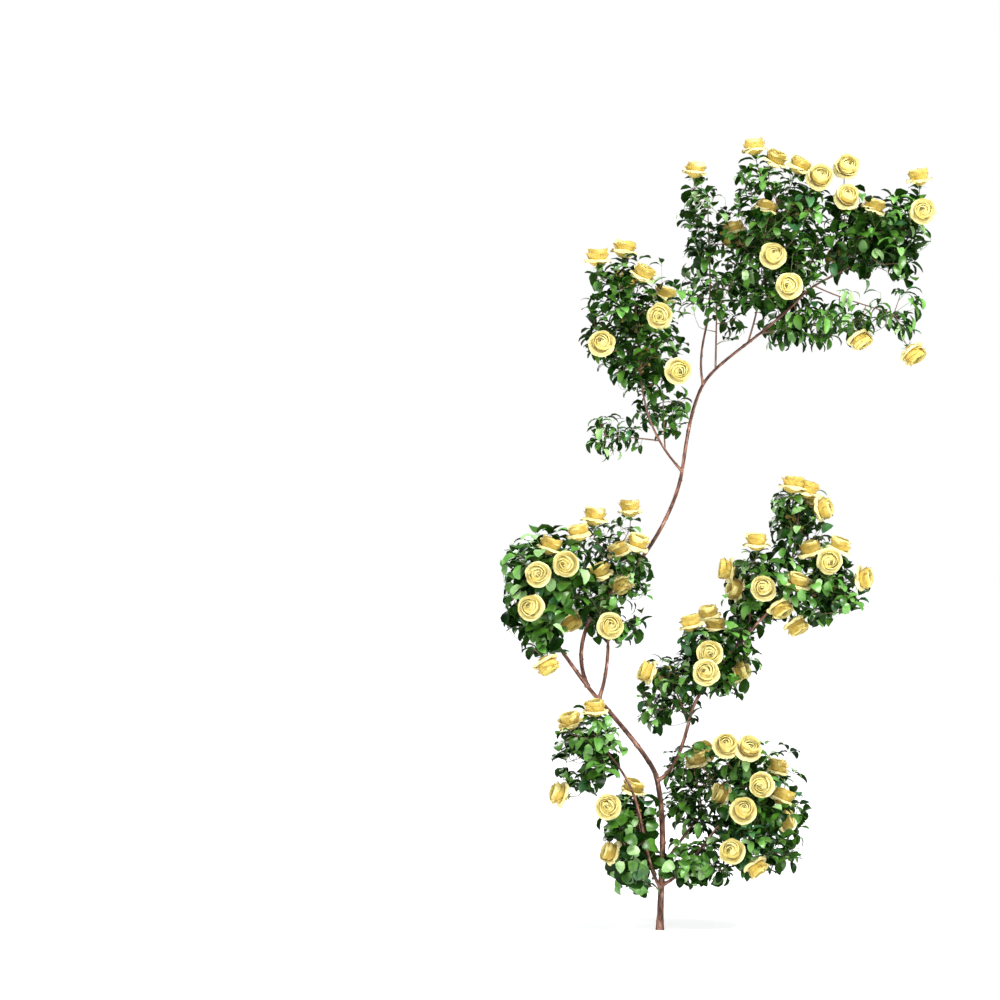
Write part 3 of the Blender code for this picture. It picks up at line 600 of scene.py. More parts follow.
def add_tube(parts, frames, radii, sides, look):
    """Adds a plain closed tube with a ring at each frame."""
    centre, across, beside = (np.array([f[k] for f in frames]) for k in (0, 2, 3))
    ring = circle(across, beside, sides) * np.array(radii)[:, None, None]
    rings_to_tube(parts, centre[:, None] + ring, look)


def batch_of_sticks(parts, starts, ends, start_radius, end_radius, look):
    """Adds a three-sided closed stick from each start to each end."""
    along = unit(ends - starts)
    across = unit(np.cross(along, (0.3, 0.5, 0.8)))
    ring = circle(across, np.cross(along, across), 3)
    points = np.concatenate([starts[:, None] + ring * start_radius, ends[:, None] + ring * end_radius], 1)
    first = np.arange(len(starts))[:, None, None] * 6
    walls = np.array([(0, 1, 4, 3), (1, 2, 5, 4), (2, 0, 3, 5)])
    parts.add(points, (first + walls).reshape(-1, 4), look)
    parts.add(points, (first + np.array([(2, 1, 0), (3, 4, 5)])).reshape(-1, 3), look)


# Limbs with bark

def waves(rng, around, along, count, reach, turns):
    """A smooth relief that closes on itself round a limb: the mean of waves that run round and along it."""
    relief = 0
    for _ in range(count):
        height = rng.uniform(0.4, 1)
        wave = rng.integers(0, turns + 1) * around + rng.uniform(0.4, 1) * TURN * along / reach
        relief = relief + height * np.sin(wave + rng.uniform(0, TURN))
    return relief / count


def chain_line(chain):
    """Points at small even steps along a chain of limbs, their radii, and how far along each is."""
    limbs = [on_limb(name, np.linspace(0, 1, 65)[0 if name == chain[0] else 1:]) for name in chain]
    points, radii = (np.concatenate(each) for each in zip(*limbs))
    length = distances(points)
    even = np.linspace(0, length[-1], round(length[-1] / BARK_STEP) + 1)
    line = np.stack([np.interp(even, length, points[:, k]) for k in range(3)], 1)
    thick = np.interp(even, length, radii)
    return line, np.convolve(np.pad(thick, 12, "edge"), np.full(25, 0.04), "valid"), even


def add_bark(parts, chain, number):
    """Adds a skin of bark along a chain of limbs, with ridges, bud scars and a collar where it starts."""
    rng = np.random.default_rng(40 + number)
    line, radii, even = chain_line(chain)
    along = unit(np.gradient(line, axis=0))
    across = unit(np.cross(along, (0.0, 1.0, 0.0)))
    beside = np.cross(along, across)
    around = (np.arange(BARK_SIDES) * TURN / BARK_SIDES)[None, :]
    step = even[:, None]
    thick = radii[:, None] * (1 + 0.05 * waves(rng, around, step, 7, 0.07, 3))
    for height, reach, turns in ((0.00035, 0.035, 8), (0.00022, 0.010, 9)):
        thick = thick + height * waves(rng, around, step, 9, reach, turns)
    scar = 0.03
    while scar < even[-1] - 0.02:
        side = rng.uniform(0, TURN)
        bud = hump(step - scar - 0.002, 0.0030) * hump(np.sin((around - side) / 2), 0.28)
        thick = thick + radii.mean() * 0.09 * hump(step - scar, 0.0035) + 0.0016 * bud
        scar += rng.uniform(0.045, 0.095)
    if chain[0] == "trunk":
        flare = ROOT_FLARE * np.exp(-line[:, 2] / ROOT_FLARE_HEIGHT)[:, None]
        thick = thick + flare * (1 + 0.35 * np.sin(4 * around + 0.8) + 0.2 * np.sin(7 * around))
    else:
        thick = thick * (1 + 0.55 * np.exp(-np.maximum(step - 0.004, 0) / 0.009))
    if chain[-1] == "arm_right":
        thick[-4:] *= np.array([0.96, 0.88, 0.7, 0.4])[:, None]
    rings = line[:, None] + circle(across, beside, BARK_SIDES) * thick[..., None]
    if chain[0] == "trunk":
        rings[0, :, 2] = 0
    rings_to_tube(parts, rings, 0)
    return line, radii, even, across, beside, along


def add_prickle(parts, base, out, down, size):
    """Adds a hooked prickle: a flat cone on a long oval foot, bent down towards its tip."""
    side = np.cross(out, down)
    rings = [base + (out * high + down * bend + circle(down * long, side * wide, 8)) * size
             for high, long, wide, bend in PRICKLE_RINGS]
    rings_to_tube(parts, np.array(rings), 0)


# Looks

def node(tree, kind, inputs, **settings):
    """A new shader node. Each of its inputs takes a value, or a link from another node's output."""
    made = tree.nodes.new(kind)
    for setting, value in settings.items():
        setattr(made, setting, value)
    for socket, value in inputs.items():
        if isinstance(value, bpy.types.NodeSocket):
            tree.links.new(value, made.inputs[socket])
        else:
            made.inputs[socket].default_value = value
    return made


def principled(name, roughness, specular):
    """A new material, its node tree, its shader, and the place on the object."""
    made = bpy.data.materials.new(name)
    made.use_nodes = True
    tree = made.node_tree
    shader = tree.nodes["Principled BSDF"]
    shader.inputs["Roughness"].default_value = roughness
    shader.inputs["Specular IOR Level"].default_value = specular
    return made, tree, shader, node(tree, "ShaderNodeTexCoord", {}).outputs["Object"]


def noise(tree, place, scale, detail, roughness=0.5):
    inputs = {"Vector": place, "Scale": scale, "Detail": detail, "Roughness": roughness}
    return node(tree, "ShaderNodeTexNoise", inputs).outputs["Fac"]


def ramp(tree, value, *stops):
    """Colours between stops of (place, colour)."""
    made = node(tree, "ShaderNodeValToRGB", {"Fac": value})
    while len(made.color_ramp.elements) < len(stops):
        made.color_ramp.elements.new(0.5)
    for element, (place, colour) in zip(made.color_ramp.elements, stops):
        element.position = place
        element.color = (*colour, 1)
    return made.outputs["Color"]


def roughen(tree, shader, value, low, high):
    """Spreads the shader's roughness between two values."""
    made = node(tree, "ShaderNodeMapRange", {"Value": value, "To Min": low, "To Max": high})
    tree.links.new(made.outputs["Result"], shader.inputs["Roughness"])


def bump(tree, shader, height, strength, distance):
    made = node(tree, "ShaderNodeBump", {"Height": height, "Strength": strength, "Distance": distance})
    tree.links.new(made.outputs["Normal"], shader.inputs["Normal"])


# Each kind of surface: its patches' scale, detail, and where the dark colour ends and the light one starts,
# its uneven gloss's scale and range, and its relief's scale, detail, strength and distance
SURFACES = {
    "leaf": ((28, 2, 0.36, 0.66), (420, 0.07, 0.09), (420, 2, 0.25, 0.0006)),
    "petal": ((45, 3, 0.34, 0.62), (700, 0.07, 0.09), (160, 3, 0.12, 0.0010)),
    "twig": ((35, 4, 0.35, 0.65), (600, 0.10, 0.10), (600, 2, 0.30, 0.0005)),
}


def plant_look(kind, name, dark, light, roughness, specular, sheen=0.0):
    """Two near colours that drift into each other, uneven gloss and a fine relief."""
    (scale, detail, low, high), (fine, less, more), (*grain, strength, distance) = SURFACES[kind]
    made, tree, shader, place = principled(name, roughness, specular)
    colour = ramp(tree, noise(tree, place, scale, detail), (low, dark), (high, light))
    tree.links.new(colour, shader.inputs["Base Color"])
    roughen(tree, shader, noise(tree, place, fine, 2), roughness - less, roughness + more)
    bump(tree, shader, noise(tree, place, *grain), strength, distance)
    shader.inputs["Sheen Weight"].default_value = sheen
    return made


def bark_look():
    """Reddish-brown bark: grey-pink worn patches, dark streaks along the stem, pale specks, fine cracks."""
    made, tree, shader, place = principled("bark", 0.6, 0.4)
    along = node(tree, "ShaderNodeUVMap", {}).outputs["UV"]
    streaks, patches = (
        node(tree, "ShaderNodeMapping", {"Scale": by, "Location": to, "Vector": along}).outputs["Vector"]
        for by, to in (((5, 22, 1), (1.5, 0, 0)), ((2, 9, 1), (0.6, 0, 0))))
    streak = noise(tree, streaks, 1.6, 6, 0.62)
    base = ramp(tree, noise(tree, patches, 1.5, 6, 0.6),
                (0.38, (0.020, 0.007, 0.004)), (0.47, (0.110, 0.040, 0.022)),
                (0.56, (0.275, 0.125, 0.083)), (0.66, (0.520, 0.345, 0.280)))
    grain = ramp(tree, streak, (0.37, (0.18, 0.14, 0.12)), (0.50, (1, 1, 1)), (0.70, (1.4, 1.3, 1.25)))
    mixed = node(tree, "ShaderNodeMix", {"Factor": 0.8, 6: base, 7: grain},
                 data_type="RGBA", blend_type="MULTIPLY")
    speck = ramp(tree, noise(tree, place, 330, 1), (0.69, (0, 0, 0)), (0.74, (1, 1, 1)))
    dotted = node(tree, "ShaderNodeMix", {"Factor": speck, 6: mixed.outputs[2], 7: (0.42, 0.30, 0.24, 1)},
                  data_type="RGBA")
    tree.links.new(dotted.outputs[2], shader.inputs["Base Color"])
    roughen(tree, shader, streak, 0.72, 0.42)
    bump(tree, shader, streak, 0.5, 0.0012)
    return made


# Leaves

def leaf_meshes(parts, leaves):
    """Adds every leaf as a closed thin blade: an upper side folded along the midrib, and an under side.

    leaves is a dict of arrays: base, along, face, length, width, bend, fold, twist, wave and look.
    """
    along = unit(leaves["along"])
    across = unit(np.cross(along, leaves["face"]))
    normal = np.cross(across, along)[:, None]
    along, across = along[:, None], across[:, None]
    count = len(along)
    share = LEAF_STATIONS
    bend = leaves["bend"][:, None] * share
    safe = np.where(np.abs(leaves["bend"]) < 0.02, 0.02, leaves["bend"])[:, None]
    ahead = (np.sin(safe * share) / safe)[..., None]
    down = ((1 - np.cos(safe * share)) / safe)[..., None]
    rib = leaves["base"][:, None] + (along * ahead - normal * down) * leaves["length"][:, None, None]
    top = normal * np.cos(bend)[..., None] + along * np.sin(bend)[..., None]
    twist = (leaves["twist"][:, None] * share)[..., None]
    side = across * np.cos(twist) + top * np.sin(twist)
    top = top * np.cos(twist) - across * np.sin(twist)
    half = (leaves["width"][:, None] * leaves["length"][:, None] * 0.5 * LEAF_OUTLINE)[..., None]
    fold = leaves["fold"][:, None, None]
    ruffle = (np.sin(share * 7 + leaves["wave"][:, None]) * 0.12)[..., None]
    left = rib + side * half * np.cos(fold) + top * half * (np.sin(fold) + ruffle)
    right = rib - side * half * np.cos(fold) + top * half * (np.sin(fold) - ruffle)
    under = rib - top * LEAF_THICKNESS
    inner = np.stack([edge[:, 1:-1] for edge in (left, rib, right, under)], 2).reshape(count, -1, 3)
    points = np.concatenate([rib[:, :1], inner, rib[:, -1:]], 1)
    tip = points.shape[1] - 1
    upper = [(0, 2, 1), (0, 3, 2), (tip, tip - 4, tip - 3), (tip, tip - 3, tip - 2)]
    lower = [(0, 1, 4), (0, 4, 3), (tip, tip - 1, tip - 4), (tip, tip - 2, tip - 1)]
    for a in range(1, tip - 4, 4):
        upper += [(a, a + 1, a + 5), (a, a + 5, a + 4), (a + 1, a + 2, a + 5), (a + 2, a + 6, a + 5)]
        lower += [(a + 3, a, a + 7), (a, a + 4, a + 7), (a + 2, a + 3, a + 7), (a + 2, a + 7, a + 6)]
    first = (np.arange(count) * points.shape[1])[:, None, None]
    # Every under side takes one near-black green look: painted shade, darker than a rose leaf's own paler
    # under side.
    looks = np.concatenate([np.repeat(leaves["look"][:, None], len(upper), 1),
                            np.full((count, len(lower)), UNDER_SHADE_LOOK)], 1)
    parts.add(points, (first + np.array(upper + lower)).reshape(-1, 3), looks.ravel())


# Blooms

def petal(parts, base, ways, shape, turn, rng, size, droop, lean, looks):
    """Adds one petal as a closed thin sheet. looks are the numbers of its inner and its outer side's look."""
    side, beside, axis = ways
    profile, half_width, swirl, ruffled = shape
    u = np.linspace(-1, 1, (PETAL_COLUMNS if half_width > 25 else INNER_COLUMNS) + 1)[None, :]
    v = (np.linspace(0, 1, PETAL_ROWS + 1) ** 0.85)[:, None]
    notch = rng.uniform(0, 0.10) * hump(u - rng.uniform(-0.5, 0.5), 0.22)
    reach = v * (1 - 0.16 * np.abs(u) ** 2.8 - notch)
    s = 1 - reach
    weights = (s ** 3, 3 * s * s * reach, 3 * s * reach ** 2, reach ** 3)
    out, high = (sum(point[k] * weight for point, weight in zip(profile, weights)) for k in (0, 1))
    wide = half_width * (0.22 + 0.78 * np.sin(np.minimum(v / 0.72, 1) * math.pi / 2))
    angle = turn + u * wide / np.maximum(np.maximum.accumulate(out, axis=0), 7.0)
    phase = rng.uniform(0, TURN)
    ruffle = rng.uniform(0.5, 1) * ruffled * v ** 3 * np.sin(u * 3.4 + phase)
    high = np.minimum(high + ruffle + droop * v ** 2, PETAL_TOP)
    out = out * (1 + 0.05 * np.abs(u) * v) + rng.uniform(-1.2, 1.4) * v ** 2 * np.cos(u * 2.6 + phase)
    out = np.maximum(out + swirl * u * np.minimum(v * 2, 1), 0.4)
    out, high = out * size * 0.001, high * size * 0.001
    inner = (base + axis * high[..., None] + lean * (v ** 2)[..., None]
             + side * (out * np.cos(angle))[..., None] + beside * (out * np.sin(angle))[..., None])
    normal = np.cross(np.gradient(inner, axis=1), np.gradient(inner, axis=0))
    normal /= np.linalg.norm(normal, axis=2, keepdims=True) + 1e-12
    outer = inner + normal * PETAL_THICKNESS
    rows, columns = inner.shape[:2]
    number = np.arange(rows * columns).reshape(rows, columns)
    back = number.copy()
    back[1:-1, 1:-1] = rows * columns + np.arange((rows - 2) * (columns - 2)).reshape(rows - 2, columns - 2)
    other_way = (np.arange(rows - 1) < rows // 2)[:, None] != (np.arange(columns - 1) < columns // 2)[None, :]
    faces = []
    for n in (number, back):
        a, b, c, d = corners(n)
        faces.append(np.concatenate([np.stack([a, b, np.where(other_way, d, c)], -1).reshape(-1, 3),
                                     np.stack([np.where(other_way, b, a), c, d], -1).reshape(-1, 3)]))
    points = np.concatenate([inner.reshape(-1, 3), outer[1:-1, 1:-1].reshape(-1, 3)])
    parts.add(points, np.concatenate([faces[0][:, ::-1], faces[1]]), np.repeat(looks, len(faces[0])))


def add_bloom(parts, base, axis, number):
    """Adds a double bloom: rings of petals, from the wide outer ring in to the heart, and its green cup."""
    rng = np.random.default_rng(900 + number)
    axis = np.array(axis)
    side = np.array(Vector(axis).orthogonal().normalized())
    beside = np.cross(axis, side)
    foot = np.array(base) - axis * BLOOM_SINK
    size = rng.uniform(0.94, 1.0)
    turn = rng.uniform(0, TURN)
    lean_way = rng.uniform(0, TURN)
    lean = (side * math.cos(lean_way) + beside * math.sin(lean_way)) * BLOOM_LEAN
    # Whether the heart's inner sides take the darker gold look: partly the heart's own deeper gold, partly
    # painted shade in the eye.
    golden = rng.uniform() < 0.7
    for ring, (count, *shape) in enumerate(PETAL_RINGS):
        heart = ring >= HEART_RINGS
        # The outer rings' outer sides take a darker golden look: partly the petals' own deeper gold, partly
        # painted shade.
        looks = (2 * golden, 2) if heart else (0, 1)
        droops, sizes = ((-1.5, 1.0), (0.95, 1.02)) if heart else ((-4.0, 2.0), (0.88, 1.03))
        aside = lean * max(ring - HEART_RINGS + 2, 0) / 5
        for i in range(count):
            angle = turn + TURN * (i + rng.uniform(-0.16, 0.16)) / count
            droop = rng.uniform(*droops)
            full = size * rng.uniform(*sizes)
            petal(parts, foot, (side, beside, axis), shape, angle, rng, full, droop, aside, looks)
        turn += GOLDEN_ANGLE
    cup = [foot + (axis * high + circle(side, beside, 8) * wide) * 0.001 for wide, high in CUP_RINGS]
    rings_to_tube(parts, np.array(cup), CUP_LOOK)
    for i in range(5):
        angle = turn + TURN * i / 5
        out = side * math.cos(angle) + beside * math.sin(angle)
        across = np.cross(axis, out)
        sepal = [[foot + (axis * high + out * reach + edge) * 0.001
                  for edge in (-across * half, -axis * SEPAL_THICKNESS, across * half)]
                 for reach, high, half in SEPAL]
        rings_to_tube(parts, np.array(sepal), CUP_LOOK)


# The plant

LEAF_LOOKS = [plant_look("leaf", *row) for row in (
    ("leaf_mid", (0.026, 0.100, 0.007), (0.070, 0.192, 0.016), 0.34, 0.50),
    # Painted shade: near-black green for leaves deep inside the masses.
    ("leaf_deep", (0.002, 0.013, 0.001), (0.007, 0.036, 0.002), 0.32, 0.10),
    # Partly painted light: bright green, dealt out mostly to leaves outside and on top.
    ("leaf_bright", (0.072, 0.240, 0.028), (0.165, 0.385, 0.074), 0.34, 0.60),
    # Partly a painted sky reflection: bluish green, dealt out more towards the rim.
    ("leaf_cool", (0.016, 0.082, 0.022), (0.050, 0.175, 0.052), 0.30, 0.65),
    # Painted highlight: whitish pale green, standing in for strongly lit, glossy leaves.
    ("leaf_pale", (0.200, 0.410, 0.110), (0.360, 0.570, 0.240), 0.36, 0.60),
    # Painted shade: the near-black green of every leaf's under side.
    ("leaf_under", (0.008, 0.033, 0.002), (0.020, 0.064, 0.005), 0.50, 0.07),
)]
TWIG_LOOKS = [plant_look("twig", *row) for row in (
    ("twig_brown", (0.110, 0.048, 0.030), (0.230, 0.120, 0.080), 0.55, 0.5),
    ("twig_green", (0.070, 0.140, 0.030), (0.150, 0.240, 0.060), 0.45, 0.5),
)]
PETAL_LOOKS = [plant_look("petal", *row, 0.65, 0.18, 0.10) for row in (
    ("petal_inside", (0.80, 0.71, 0.28), (0.87, 0.81, 0.40)),
    # Partly the deeper gold of the outer petals' backs, partly painted shade on their under sides.
    ("petal_outside", (0.54, 0.37, 0.070), (0.69, 0.52, 0.125)),
    # Partly the deeper gold of a rose's heart, partly painted shade in the bloom's sunken eye.
    ("petal_heart", (0.76, 0.63, 0.20), (0.85, 0.76, 0.32)),
)]
PETAL_LOOKS.append(plant_look("twig", "bloom_cup", (0.050, 0.130, 0.025), (0.090, 0.200, 0.040), 0.45, 0.5))
# The number of the under sides' look, painted shade; the looks before it belong to upper sides.
UNDER_SHADE_LOOK = 5
CUP_LOOK = 3

# How often each leaf look is drawn: for sprays in the heart, further out and on the rim, and for one leaf.
# This deals out painted light and shade: the shaded looks mostly in the heart, the lit looks and the painted
# highlight mostly on the rim, and for one leaf both scattered at random.
# SAME_AS_SPRAY is how often a leaf takes its spray's look instead.
SHARES_BY_LIGHT = (
    (0.22, 0.72, 0.02, 0.04, 0.00), (0.42, 0.23, 0.21, 0.09, 0.05), (0.31, 0.07, 0.37, 0.11, 0.14))
SHARES_OF_ONE_LEAF = (0.34, 0.23, 0.21, 0.08, 0.14)
SAME_AS_SPRAY = 0.62

# Points along every limb, with their radii, that leaves keep clear of
LIMB_POINTS, LIMB_RADII = (
    np.concatenate(each) for each in zip(*(on_limb(name, np.linspace(0, 1, 60)) for name in LIMBS)))


def away_from_limbs(points, slack):
    """Which of the points (n, 3) lie at least slack off every limb."""
    return np.concatenate([
        (np.linalg.norm(some[:, None] - LIMB_POINTS, axis=2) - LIMB_RADII).min(1) > slack
        for some in np.array_split(points, len(points) // 4000 + 1)])


def is_clear(frames):
    """Whether a shoot or a twig keeps clear of every limb."""
    return away_from_limbs(np.array([f[0] for f in frames[1:]]), TWIG_CLEARANCE).all()


def seen_apart(points, x, z):
    """How far apart each of the points (n, 3) and each of the places across and up look from the front."""
    return np.hypot(points[:, None, 0] - x, points[:, None, 2] - z)


def in_sky(points):
    """Which of the points (n, 3) lie where the photograph shows sky."""
    return (seen_apart(points, SKY[:, 0], SKY[:, 1]) < SKY[:, 2]).any(1)


def before_limbs(points):
    """Which of the points (n, 3) hide a limb that is in view."""
    hidden = np.zeros(len(points), bool)
    for name, start in LIMBS_IN_VIEW.items():
        line, _ = on_limb(name, np.linspace(start, 1, 50))
        near = seen_apart(points, line[:, 0], line[:, 2]) < LIMBS[name][2] + VIEW_SLACK
        hidden |= (near & (points[:, None, 1] < line[:, 1])).any(1)
    return hidden


def spread_places(mass, count, rng, others):
    """Places in a mass's own space, each well away from those before it, in clumps with gaps between them."""
    middle, reach = np.array(mass.middle), np.array(mass.reach)
    taken = [np.array(p) for p in others]
    places = []
    for _ in range(count):
        ways = rng.normal(size=(PLACE_TRIES, 3))
        ways /= (np.abs(ways) ** FULLNESS).sum(1, keepdims=True) ** (1 / FULLNESS)
        tries = middle + ways * reach * (rng.uniform(0, 1, (PLACE_TRIES, 1)) ** 0.42) * 0.96
        clumped = np.array([noise_at(Vector(p) / CLUMP_SIZE) > CLUMP_LEAST for p in tries])
        low = rng.uniform(0, 1, PLACE_TRIES) > THIN_TOP * (tries[:, 2] - middle[2]) / reach[2]
        tries = tries[belongs(tries, mass) & clumped & low]
        if not len(tries):
            continue
        best = tries[0]
        if taken:
            best = tries[np.linalg.norm(tries[:, None] - np.array(taken)[None], axis=2).min(1).argmax()]
        places.append(best)
        taken.append(best)
    return places


def tint_for(place, mass, rng):
    """The look of a spray's leaves, as painted light and shade: shade in the heart and the foot of its mass,
    lit looks outside and on top.
    """
    away = Vector([a / r for a, r in zip(place - Vector(mass.middle), mass.reach)])
    # Painted light and shade: farther out and higher up in the mass, leaves take brighter looks.
    light = away.length * 0.75 + away.z * 0.40 + rng.uniform(-0.30, 0.30) + mass.lighter
    return rng.choice(UNDER_SHADE_LOOK, p=SHARES_BY_LIGHT[int(light >= 0.42) + int(light >= 0.85)])


def leaves_along(found, frames, first, last, middle, habit, rng, tint):
    """Notes whorls of leaves along a twig, and one at its tip: arched blades that spread like a roof."""
    size, turned_out, rise = habit
    length = sum((b[0] - a[0]).length for a, b in zip(frames, frames[1:]))
    count = max(1, round(length * (last - first) / WHORL_SPACING))
    turn = rng.uniform(0, TURN)
    whorls = [(first + (last - first) * (i + rng.uniform(0.0, 0.35)) / count, WHORL_LEAVES, 0.15, 0.45)
              for i in range(count)]
    whorls.append((last, TIP_LEAVES, 0.25, 0.9))
    for number, (share, leaves, least, most) in enumerate(whorls):
        for leaf in range(leaves):
            at = min(max(share + rng.uniform(-0.03, 0.03), 0), 1) * (len(frames) - 1)
            k = min(int(at), len(frames) - 2)
            foot = frames[k][0].lerp(frames[k + 1][0], at - k)
            along = frames[k][1]
            angle = turn + number * GOLDEN_ANGLE + (leaf + rng.uniform(-0.2, 0.2)) * TURN / leaves
            out = round_point((foot, *frames[k][1:]), angle, 1) - foot
            way = (out + along * rng.uniform(least, most) + UP * rng.uniform(0.0, 0.35) * rise).normalized()
            outward = (foot - middle).normalized()
            face = UP + outward * turned_out + Vector(rng.uniform(-0.25, 0.25, 3))
            look = tint if rng.uniform() < SAME_AS_SPRAY else rng.choice(UNDER_SHADE_LOOK, p=SHARES_OF_ONE_LEAF)
            bend = rng.uniform(0.7, 1.9) + (0.4 if rise < 0.4 else 0)
            found.append((foot, way, face, LEAF_LENGTH * size * rng.uniform(0.68, 1.15), bend, look))


def grow(mass, parts, found, seats):
    """Grows a mass from its limb: its stem, a shoot to each bloom and leafy end, and a twig to each spray."""
    rng = np.random.default_rng(sum(map(ord, mass.name)))
    middle = Vector(mass.middle)
    habit = (mass.size, mass.turned_out, mass.rise)
    curve = stem_curve(mass)
    stem = frames_along(curve, STEM_PARTS)
    smooth = frames_along(curve, 14)
    _, _, limb_start, limb_end = LIMBS[mass.limb]
    first = (limb_start + (limb_end - limb_start) * mass.share) * (1.0 if mass.share == 1 else 0.72)
    add_tube(parts, smooth, taper(first, STEM_TIP, len(smooth)), 8, 0)
    bearers = [f[:2] for f in smooth[4:]]
    aims = [([base], axis) for base, axis in seats] + [(tries, None) for tries in leafy_targets(mass)]
    taken = set()
    shoots = []
    for tries, axis in aims:
        for target in tries:
            taking, start, leave = leaving_place(stem, target, taken)
            arrive = axis or ((target - start).normalized() + UP * 0.35).normalized()
            end = target - axis * (BLOOM_SINK + CUP_DEPTH) if axis else target
            frames = frames_along(shoot_curve(start, leave, end, arrive), SHOOT_PARTS)
            if is_clear(frames) or target is tries[-1]:
                taken.add(taking)
                add_tube(parts, frames, taper(*(BLOOM_SHOOT if axis else LEAFY_SHOOT), len(frames)), 5, 0)
                shoots.append((frames, 0.94 if axis else 1.0))
                break
    for frames, last in shoots:
        leaves_along(found, frames, 0.20, last, middle, habit, rng, tint_for(frames[-1][0], mass, rng))
        bearers += [f[:2] for f in frames[1:]]
    count = round(SPRAYS_PER_AREA * math.pi * mass.reach[0] * mass.reach[2] * mass.thickness)
    hosts = np.array([b[0] for b in bearers])
    places = spread_places(mass, count, rng, [base for base, _ in seats])
    sprays = [(place, middle, habit) for place in places]
    size, forwards, more = MORE_SPRAYS.get(mass.name, (0, 0, ()))
    for place in metres(more):
        sprays.append((np.array(place), Vector(place) + Vector((0, 0.2, 0)), (size, forwards, mass.rise)))
    for place, inside, kind in sprays:
        way = place - hosts
        cost = np.linalg.norm(way, axis=1) - min(0.30 + 0.12 * mass.rise, 0.6) * way[:, 2]
        start, along = bearers[int(cost.argmin())]
        end = Vector(place)
        heading = (end - start).normalized()
        leave = (heading + along * 0.5).normalized()
        arrive = (heading + UP * mass.rise).normalized()
        frames = frames_along(shoot_curve(start, leave, end, arrive), 5)
        if is_clear(frames) and not in_sky(np.array([end])).any():
            add_tube(parts, frames, taper(*TWIG, len(frames)), 4, int(rng.uniform() < 0.6))
            leaves_along(found, frames, 0.35, 1.0, inside, kind, rng, tint_for(end, mass, rng))


def leaf_arrays(found, mass, rng, blooms):
    """The leaves that stay: inside the masses' spaces and the frame's box, and clear of limbs and blooms."""
    foot, along, face, length, bend, look = (np.array(each) for each in zip(*found))
    count = len(found)
    base = foot + along * STALK_LENGTH * rng.uniform(0.6, 1.3, (count, 1))
    leaves = dict(
        foot=foot, along=along, face=face, length=length, bend=bend, look=look, base=base,
        width=mass.broad * rng.uniform(0.86, 1.16, count), fold=rng.uniform(0.10, 0.50, count),
        twist=rng.uniform(-0.5, 0.5, count), wave=rng.uniform(0, TURN, count))
    across = unit(np.cross(along, face))
    normal = np.cross(across, along)
    length, bend = length[:, None], bend[:, None]
    tip = base + length * (along * (np.sin(bend) / bend) - normal * ((1 - np.cos(bend)) / bend))
    half = base + length * 0.5 * (along * np.cos(bend / 4) - normal * np.sin(bend / 4))
    wide = across * length * mass.broad * 0.5
    tests = np.stack([base, half, tip, half + wide, half - wide], 1)
    flat = tests.reshape(-1, 3)
    low, high = (np.array(corner) for corner in cad_box)
    keep = in_any_space(flat) & away_from_limbs(flat, LEAF_CLEARANCE) & ~in_sky(flat) & ~before_limbs(flat)
    keep &= ((flat > low + BOX_MARGIN) & (flat < high - BOX_MARGIN)).all(1)
    keep = keep.reshape(-1, 5).all(1)
    for seat, axis in blooms:
        axis = np.array(axis)
        away = tests - (np.array(seat) - axis * BLOOM_SINK)
        high_up = away @ axis
        out = np.linalg.norm(away - high_up[..., None] * axis, axis=2)
        room = np.clip(high_up * ROOM_SLOPE + ROOM_FOOT, 0, ROOM_RADIUS)
        keep &= ~((high_up > -0.004) & (high_up < ROOM_HEIGHT) & (out < room)).any(1)
        if axis[1] < 0.5:
            aside = away - axis * (BLOOM_SINK + BLOOM_HEIGHT * 0.5)
            near = np.hypot(aside[..., 0], aside[..., 2]) < (FACE_RADIUS if axis[1] < -0.5 else SIDE_RADIUS)
            keep &= ~(near & (aside[..., 1] < 0)).any(1)
    return {key: values[keep] for key, values in leaves.items()}


def replace_and_slot(piece, nodes):
    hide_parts(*nodes)


def dress_limbs():
    parts = Parts()
    rng = np.random.default_rng(7)
    for number, chain in enumerate(CHAINS):
        line, radii, even, across, beside, along = add_bark(parts, chain, number)
        at = rng.uniform(0.05, 0.12)
        while at < even[-1] - 0.03:
            k = int(np.searchsorted(even, at))
            angle = rng.uniform(0, TURN)
            out = across[k] * math.cos(angle) + beside[k] * math.sin(angle)
            foot = line[k] + out * radii[k] * PRICKLE_FOOT
            add_prickle(parts, foot, out, -along[k], rng.uniform(0.0035, 0.0055))
            at += rng.uniform(0.07, 0.20)
    replace_and_slot(parts.make("bark_of_limbs", [bark_look()], 42), LIMBS)


def dress_masses():
    kinds = {"twigs": (TWIG_LOOKS, None), "stalks": (TWIG_LOOKS, None), "leaves": (LEAF_LOOKS, 50),
             "blooms": (PETAL_LOOKS, 70)}
    every = {key: list(bloom_seats(mass)) for key, mass in MASSES.items()}
    blooms = [seat for seats in every.values() for seat in seats]
    number = 0
    for region, keys in REGIONS.items():
        parts = {kind: Parts() for kind in kinds}
        for key in keys:
            mass = MASSES[key]
            rng = np.random.default_rng(500 + len(mass.name) + number)
            found = []
            grow(mass, parts["twigs"], found, every[key])
            leaves = leaf_arrays(found, mass, rng, blooms)
            leaf_meshes(parts["leaves"], leaves)
            batch_of_sticks(parts["stalks"], leaves["foot"], leaves["base"] + leaves["along"] * 0.001,
                            STALK_RADIUS, STALK_RADIUS * 0.7, 1)
            for base, axis in every[key]:
                add_bloom(parts["blooms"], base, axis, number)
                number += 1
        for kind, (looks, sharp) in kinds.items():
            piece = parts[kind].make(kind + "_" + region, looks, sharp)
            replace_and_slot(piece, [MASSES[key].name for key in keys])


dress_limbs()
dress_masses()


# The floor, the light and the camera

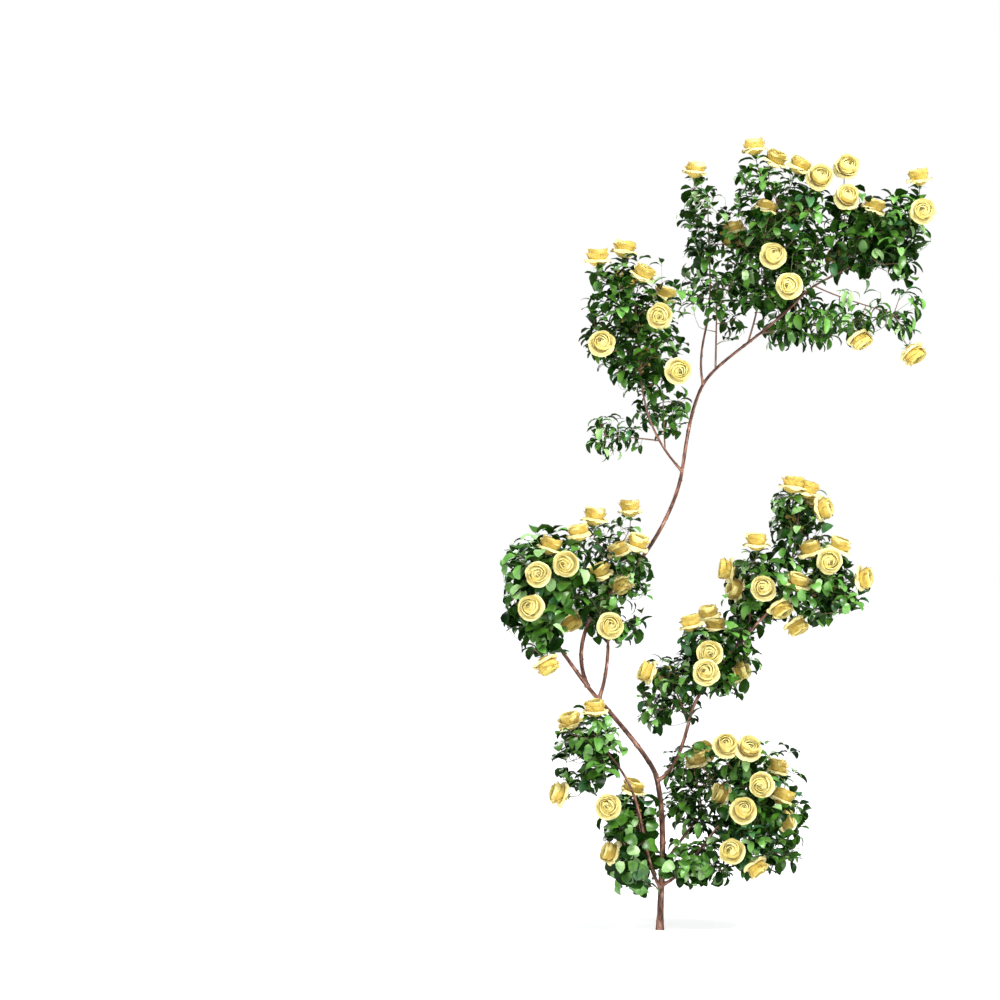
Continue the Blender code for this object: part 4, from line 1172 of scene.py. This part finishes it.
def make_floor():
    """A pale floor that glows more the farther out it is, where the lights don't reach it."""
    made, tree, shader, place = principled("floor", 0.8, 0.2)
    shader.inputs["Base Color"].default_value = (0.9, 0.9, 0.9, 1)
    shader.inputs["Emission Color"].default_value = (1, 1, 1, 1)
    away = node(tree, "ShaderNodeVectorMath", {0: place}, operation="LENGTH").outputs["Value"]
    fade = node(tree, "ShaderNodeMapRange",
                {"Value": away, "From Min": 1.0, "From Max": 8.0, "To Min": 0.42, "To Max": 0.80})
    tree.links.new(fade.outputs["Result"], shader.inputs["Emission Strength"])
    mesh = bpy.data.meshes.new("floor")
    rim = circle(np.array((FLOOR_RADIUS, 0, 0)), np.array((0, FLOOR_RADIUS, 0)), FLOOR_SIDES)
    mesh.from_pydata(rim.tolist(), [], [tuple(range(FLOOR_SIDES))])
    mesh.materials.append(made)
    floor = add_object("floor", mesh)


def area_light(name, place, aim, size, power):
    light = bpy.data.lights.new(name, "AREA")
    light.energy = power
    light.size = size
    made = add_object(name, light)
    made.location = place
    made.rotation_mode = "QUATERNION"
    made.rotation_quaternion = (Vector(aim) - Vector(place)).to_track_quat("-Z", "Y")


def make_world():
    world = bpy.data.worlds.new("studio")
    bpy.context.scene.world = world
    world.use_nodes = True
    tree = world.node_tree
    way = node(tree, "ShaderNodeTexCoord", {}).outputs["Generated"]
    shade = ramp(tree, node(tree, "ShaderNodeSeparateXYZ", {"Vector": way}).outputs["Z"], (0.0, (1, 1, 1)),
                 (0.12, (1, 1, 1)), (0.25, (0.30, 0.30, 0.31)), (1.0, (0.42, 0.43, 0.46)))
    tree.links.new(shade, tree.nodes["Background"].inputs["Color"])
    tree.nodes["Background"].inputs["Strength"].default_value = 1.0


def make_camera():
    data = bpy.data.cameras.new("camera")
    data.sensor_width = 36
    data.lens = 36 * CAMERA_DISTANCE / FRAME_WIDTH
    data.clip_end = 200
    made = add_object("camera", data)
    made.location = (CAMERA_X, -CAMERA_DISTANCE, CAMERA_Z)
    made.rotation_euler = (math.pi / 2, 0, 0)
    bpy.context.scene.camera = made


make_floor()
make_world()
area_light("key", (3.2, -4.7, 6.8), (0.2, 0, 1.4), 3.2, 900)
area_light("fill", (-2.4, -8.0, 2.8), (0.2, 0, 1.3), 4.0, 230)
area_light("rim", (-2.2, 5.0, 4.5), (0.2, 0, 1.4), 2.5, 160)
make_camera()
bpy.context.scene.view_settings.view_transform = "Standard"
